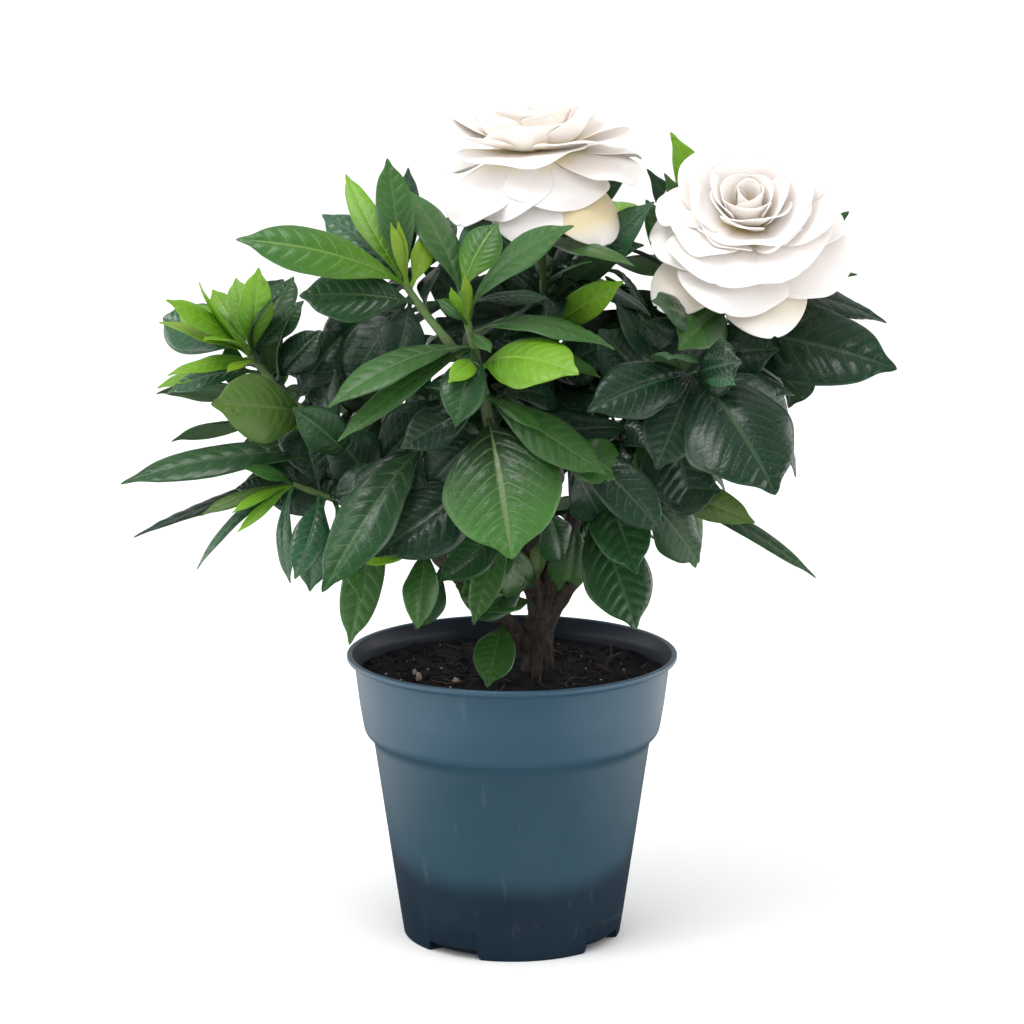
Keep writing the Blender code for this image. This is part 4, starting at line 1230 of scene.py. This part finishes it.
# Whorls at even steps along a stem. Each leaf leans forward by a random angle and droops a little.
def fillStem(stem, draw):
    line = stemLines[stem]
    length = np.linalg.norm(np.diff(line, axis=0), axis=1).sum()
    low, high = filling["stems"][stem]
    leaves = []
    for count, share in enumerate(np.arange(low, high + 0.001, filling["spacing"] / length)):
        index = min(int(share * 59), 58)
        here, forward = line[index], unit(line[index + 1] - line[index])
        first = unit(np.cross(forward, (0.3, 0.9, 0.1)))
        second = np.cross(forward, first)
        for number in range(filling["perWhorl"]):
            angle = np.radians(number * 120 + count * 60 + draw.normal(0, 12))
            lean = np.radians(draw.uniform(8, 48))
            size = draw.uniform(*filling["length"]) * (1 - 0.3 * share)
            slim = draw.uniform(*filling["slimness"])
            arch, pick = draw.uniform(4, 9), draw.uniform()
            ring = first * np.cos(angle) + second * np.sin(angle)
            heading = unit(ring * np.cos(lean) + forward * np.sin(lean)
                           - np.array([0, 0, draw.uniform(0.1, 0.9)]))
            tip = here + heading * size
            if not insideCrown(tip):
                continue
            outer = unit(np.array([tip[0], tip[1] * 1.3, 0]) - np.array([18, 0, 0]))
            face = forward * 0.3 + np.array([0, 0, 0.7]) + outer * draw.uniform(0.3, 1.1)
            # tips forward of 4 mm lie inside the crown, seen through its gaps, and take the dark
            # look as painted shade; elsewhere the look is drawn at random
            look = "dark" if pick < 0.42 or tip[1] < 4 else "deep" if pick < 0.75 else "mid"
            if share > 0.9 and pick > 0.8:
                look = "lime"
            leaves.append((here, tip, size * slim, arch, face, look))
    return leaves


# Whether a leaf's tip stays in the crown's outline, behind its front leaves and out of the open
# space over the trunk.
def insideCrown(tip):
    x, y, z = tip
    if y < filling["nearest"] or y > filling["deepest"]:
        return False
    gapMiddle, gapHalf, gapTop, gapBack = filling["gap"]
    if abs(x - gapMiddle) < gapHalf and z < gapTop and y < gapBack:
        return False
    frontLimit, frontHalf, frontBottom, frontTop = filling["front"]
    if y < frontLimit and (z < frontBottom or z > frontTop or abs(x) > frontHalf):
        return False
    lowest = np.interp(x, filling["across"], filling["lowest"])
    highest = np.interp(x, filling["across"], filling["highest"])
    return abs(x) < filling["halfWidth"] and lowest < z < highest


fillDraw = np.random.default_rng(19)
fillCount = 0
for stem in filling["stems"]:
    fillLeaves = fillStem(stem, fillDraw)
    fillCount += len(fillLeaves)
    makeByAge(f"{stem}_fill_leaves", f"{stem}_young_fill_leaves", fillLeaves,
              leafForm["fillSteps"])
print("filling leaves made:", fillCount)


# flowers

# Petals of each flower, tier by tier: the way it points round the flower (degrees, 0 to the
# right, 90 to the back, 270 to the front), how far up and out it starts, its lean from the
# flower's axis where it starts and ends, its length and width, its cupping, its ruffle and look.
flowers = {
    "flower_left": {
        "axis": (-0.06, -0.12, 0.99),
        "outer": [
            (238, 22, 8, 88, 158, 42, 46, -0.70, 1.6, "white"),
            (216, 21, 8, 92, 148, 47, 42, -0.55, 1.8, "white"),
            (290, 22, 8, 88, 152, 38, 50, -0.55, 1.8, "white"),
            (338, 22, 8, 84, 124, 42, 44, -0.4, 2.0, "white"),
            (314, 18, 8, 98, 170, 50, 44, -0.90, 1.2, "cream"),
            (262, 19, 8, 100, 166, 46, 38, -0.6, 1.4, "white"),
            (24, 20, 6, 74, 124, 44, 44, -0.4, 1.5, "white"),
            (84, 20, 6, 74, 130, 44, 46, -0.5, 1.5, "white"),
            (142, 20, 6, 76, 130, 43, 44, -0.4, 1.4, "white"),
        ],
        "middle": [
            (192, 24, 5, 86, 52, 42, 50, 0.6, 2.2, "white"),
            (254, 24, 5, 92, 80, 34, 60, 0.35, 2.6, "white"),
            (322, 24, 5, 88, 70, 39, 54, 0.4, 2.4, "white"),
            (26, 25, 5, 84, 54, 40, 50, 0.5, 2.0, "white"),
            (82, 24, 5, 82, 58, 38, 50, 0.45, 1.8, "white"),
            (136, 25, 5, 82, 56, 38, 50, 0.45, 1.8, "white"),
        ],
        "heart": [
            (196, 25, 8, 88, -6, 30, 42, 1.0, 2.4, "white"),
            (264, 25, 8, 92, 14, 27, 44, 0.8, 2.4, "white"),
            (332, 25, 8, 88, 0, 30, 42, 0.95, 2.4, "white"),
            (58, 26, 6, 76, 18, 28, 44, 0.8, 1.8, "white"),
            (130, 26, 6, 76, 16, 28, 44, 0.8, 1.8, "white"),
            (232, 27, 5, 62, 6, 20, 36, 0.9, 1.4, "white"),
            (318, 27, 5, 60, 8, 20, 36, 0.9, 1.4, "white"),
            (40, 27, 4, 54, 2, 22, 34, 0.95, 1.3, "white"),
            (140, 27, 4, 54, 2, 22, 34, 0.95, 1.3, "white"),
            (250, 28, 4.9, 26, -4, 14, 23, 2.1, 0.5, "white"),
            (10, 28, 4.0, 20, -6, 14, 19, 2.2, 0.4, "white"),
            (130, 28, 3.1, 16, -6, 13, 15, 2.2, 0.4, "white"),
        ],
    },
    "flower_right": {
        "axis": (-0.05, -0.62, 0.78),
        "outer": [
            (280, 0, 6, 80, 124, 46, 38, -0.55, 1.2, "ivory"),
            (212, 0, 6, 84, 122, 46, 34, -0.55, 1.4, "ivory"),
            (334, 1, 6, 74, 114, 43, 48, -0.5, 1.8, "white"),
            (254, 5, 6, 72, 114, 41, 50, -0.5, 1.8, "white"),
            (186, 5, 6, 68, 102, 38, 40, -0.3, 1.8, "white"),
            (14, 3, 6, 70, 102, 38, 46, -0.2, 1.8, "white"),
            (72, 2, 6, 64, 90, 38, 48, -0.1, 1.8, "white"),
            (130, 2, 6, 66, 92, 38, 46, -0.1, 1.8, "white"),
        ],
        "middle": [
            (246, 11, 5, 64, 98, 36, 56, -0.25, 2.4, "white"),
            (172, 12, 5, 56, 98, 37, 30, 0.1, 2.2, "white"),
            (304, 10, 5, 62, 96, 35, 52, -0.1, 2.2, "white"),
            (0, 9, 5, 54, 82, 37, 48, 0.1, 2.2, "white"),
            (56, 9, 5, 42, 66, 38, 50, 0.3, 2.0, "white"),
            (116, 9, 5, 42, 66, 37, 48, 0.3, 2.0, "white"),
            (204, 12, 5, 58, 84, 32, 42, 0.1, 2.2, "white"),
        ],
        "heart": [
            (270, 13, 5, 66, 52, 24, 46, 0.4, 1.8, "white"),
            (332, 13, 5, 60, 48, 26, 44, 0.4, 1.8, "white"),
            (36, 13, 5, 50, 36, 30, 44, 0.4, 1.8, "white"),
            (104, 13, 5, 44, 32, 31, 46, 0.4, 1.8, "white"),
            (166, 13, 5, 50, 40, 28, 42, 0.4, 1.8, "white"),
            (216, 13, 5, 60, 46, 24, 40, 0.4, 1.8, "white"),
            (290, 14, 4, 50, 26, 21, 36, 0.95, 1.2, "white"),
            (10, 14, 4, 42, 20, 24, 34, 0.95, 1.2, "white"),
            (88, 14, 4, 36, 16, 26, 36, 0.95, 1.2, "white"),
            (160, 14, 4, 40, 18, 24, 34, 0.95, 1.2, "white"),
            (226, 14, 4, 48, 24, 21, 34, 0.95, 1.2, "white"),
            (260, 16, 4.5, 34, 4, 17, 28, 1.5, 0.7, "white"),
            (20, 16, 4.5, 30, 0, 18, 28, 1.5, 0.7, "white"),
            (140, 16, 4.5, 30, 0, 18, 28, 1.5, 0.7, "white"),
            (320, 18, 4.9, 14, -4, 16, 23, 2.1, 0.5, "white"),
            (80, 18, 4.0, 12, -6, 15, 19, 2.2, 0.4, "white"),
            (200, 18, 3.1, 10, -6, 14, 15, 2.2, 0.4, "white"),
        ],
    },
}
petalForm = {"alongSteps": 36, "acrossSteps": 26, "thickness": 0.6, "heartHeight": 23.0}


# A petal is a function of u (claw to tip) and v (edge to edge). Its middle line leans away from
# the flower's axis by an angle that changes evenly along it. Across, it is an arc of a circle
# that opens towards the rounded tip, with a ruffled rim that rolls back a little.
def petalSheets(centre, axis, outward, petal, draw):
    _, start, radius, firstLean, lastLean, length, width, cup, ruffle, _ = petal
    spread = np.linspace(0, 1, petalForm["alongSteps"])[:, None]
    u = (1 - np.cos(np.pi * spread)) / 2 * 0.7 + spread * 0.3
    v = np.linspace(-1, 1, petalForm["acrossSteps"] + 1)[None, :]
    tilt = draw.normal(0, 0.10)
    sideways = np.cross(outward, axis)
    angle = np.radians(firstLean + (lastLean - firstLean) * u)
    forward = axis * np.cos(angle) + outward * np.sin(angle)
    stepsAlong = np.diff(u[:, 0], prepend=0)[:, None] * length
    spine = centre + axis * start + outward * radius + np.cumsum(forward * stepsAlong, axis=0)
    inside = axis * np.sin(angle) - outward * np.cos(angle)
    across = sideways * np.cos(tilt) + inside * np.sin(tilt)
    inside = inside * np.cos(tilt) - sideways * np.sin(tilt)
    half = width / 2 * np.sin(np.pi * (0.04 + 0.957 * u) ** 1.25) ** 0.5
    half = half * (1 + 0.03 * np.sin(u * 9 + draw.uniform(0, 6))) + 0 * v
    bend = cup * (1 - 0.35 * u) * v * half / (width / 2)
    bend = np.where(np.abs(bend) < 1e-4, 1e-4, bend)
    curl = v * half / bend
    x = curl * np.sin(bend)
    scoop = curl * (1 - np.cos(bend))
    turns, shift = draw.uniform(2.4, 3.8), draw.uniform(0, 6)
    w = v * half / (width / 2)
    rufflePart = ruffle * u**2 * np.abs(w) ** 1.3 * np.sin(w * turns + u * 4 + shift) * 1.3
    rim = ruffle * 0.9 * smoothStep(0.65, 1.0, u) * np.sin(w * 3.4 + draw.uniform(0, 6))
    rollBack = -ruffle * 1.1 * smoothStep(0.78, 1.0, u)
    crease = -0.5 * np.exp(-(v / 0.12) ** 2) * (1 - u)
    height = scoop + rufflePart + rim + rollBack + crease
    notch = draw.uniform(0.0, 0.02) * length * np.exp(-(v / 0.4) ** 2) * smoothStep(0.7, 1, u)
    upper = (spine[:, None, :] - forward[:, None, :] * notch[..., None]
             + across[:, None, :] * x[..., None] + inside[:, None, :] * height[..., None])
    lower = upper - inside[:, None, :] * petalForm["thickness"]
    full = np.ones_like(x)
    maps = {"blade": np.stack([u * full, 0.5 + 0.5 * v * full], -1)}
    return upper, lower, maps


# Petal skin: waxy white, creamier at the claw, with faint lengthwise veins.
# Older petals turn to cream from the middle outwards.
def makePetalMaterial(name, age):
    made, tree, shader = newMaterial(name, 0.55, Subsurface_Weight=0.25, Subsurface_Scale=0.003)
    shader.inputs["Subsurface Radius"].default_value = (1.0, 0.85, 0.6)
    shader.inputs["Specular IOR Level"].default_value = 0.3
    point = objectPoint(tree)
    blade = addNode(tree, "ShaderNodeUVMap", uv_map="blade").outputs[0]
    parts = separate(tree, blade)
    tone = mottle(tree, point, 40.0, 0.3)
    white = blendColour(tree, tone, (0.915, 0.855, 0.815), (0.945, 0.90, 0.87))
    claw = ramp(tree, parts["X"], 0.46, 0.06)
    colour = blendColour(tree, calc(tree, "MULTIPLY", claw, 0.8), white, (0.84, 0.72, 0.34))
    streaks = noise(tree, stretch(tree, blade, (2.0, 34.0, 1.0)), 1.0, 2.0)
    colour = blendColour(tree, calc(tree, "MULTIPLY", ramp(tree, streaks, 0.5, 0.7), 0.10),
                         colour, (0.76, 0.70, 0.60))
    if age > 0:
        cream = blendColour(tree, tone, (0.66, 0.52, 0.24), (0.76, 0.64, 0.38))
        rimWhite = ramp(tree, parts["X"], 1.0, 0.72)
        mask = calc(tree, "MULTIPLY", calc(tree, "MULTIPLY_ADD", tone, 0.25, age), rimWhite)
        colour = blendColour(tree, mask, colour, cream)
    rough = calc(tree, "MULTIPLY_ADD", tone, 0.12, 0.48)
    height = calc(tree, "ADD", streaks, calc(tree, "MULTIPLY", noise(tree, point, 500.0), 0.3))
    feedShader(tree, shader, colour, rough, height, 0.2, 0.0003)
    return made


petalMaterials = {"white": makePetalMaterial("petalWhite", 0.0),
                  "ivory": makePetalMaterial("petalIvory", 0.25),
                  "cream": makePetalMaterial("petalCream", 0.75)}


def boxMiddle(node):
    low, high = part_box(node)
    return (np.array(low) + np.array(high)) / 2 / mm


# A flower stands on its axis, a set way below the heart that the frame gives.
def makeFlower(name, seed):
    flower = flowers[name]
    axis = unit(flower["axis"])
    centre = boxMiddle(name + "_heart") - axis * petalForm["heartHeight"]
    right = unit(np.cross((0, 1, 0.2), axis))
    back = np.cross(axis, right)
    draw = np.random.default_rng(seed)
    for tier in ("outer", "middle", "heart"):
        for number, petal in enumerate(flower[tier], 1):
            angle = np.radians(petal[0])
            outward = right * np.cos(angle) + back * np.sin(angle)
            upper, lower, maps = petalSheets(centre, axis, outward, petal, draw)
            points, quads, corners = shellFrom(upper, lower, maps)
            piece = buildPiece(f"{name}_{tier}_{number}", points, quads, maps=corners,
                               material=petalMaterials[petal[-1]])
            stoodFor = []
            if tier == "outer" and number <= 5:
                stoodFor = [f"{name}_outer_petal_{number}"]
            elif number == 1:
                stoodFor = [f"{name}_middle_petals" if tier == "middle" else f"{name}_heart"]
            place(piece, "petal_white", *stoodFor)
    makeCalyx(name, centre, axis)


# The calyx is a tube with six ribs that widens from the stem to the petals.
def makeCalyx(name, centre, axis):
    stemEnd = stemLines[{"flower_left": "flowerLeft", "flower_right": "right"}[name]][-1]
    top = flowers[name]["outer"][0][1] + 1
    path = smoothPath([stemEnd, centre - axis * 6, centre + axis * top], 30)
    swell = np.interp(np.linspace(0, 1, 30), (0, 0.3, 0.75, 1), (1.8, 2.4, 4.6, 6.0))
    angles = np.linspace(0, 2 * np.pi, 24, endpoint=False)
    radii = swell[:, None] * (1 + 0.07 * np.cos(angles * 6))
    piece = buildJoined(f"{name}_calyx", [tubeAlong(path, radii, 24)], barkMaterial)
    addValues(piece, "green", np.ones(len(piece.data.vertices)))
    place(piece, "bark")


makeFlower("flower_left", 41)
makeFlower("flower_right", 42)
print("flowers made")
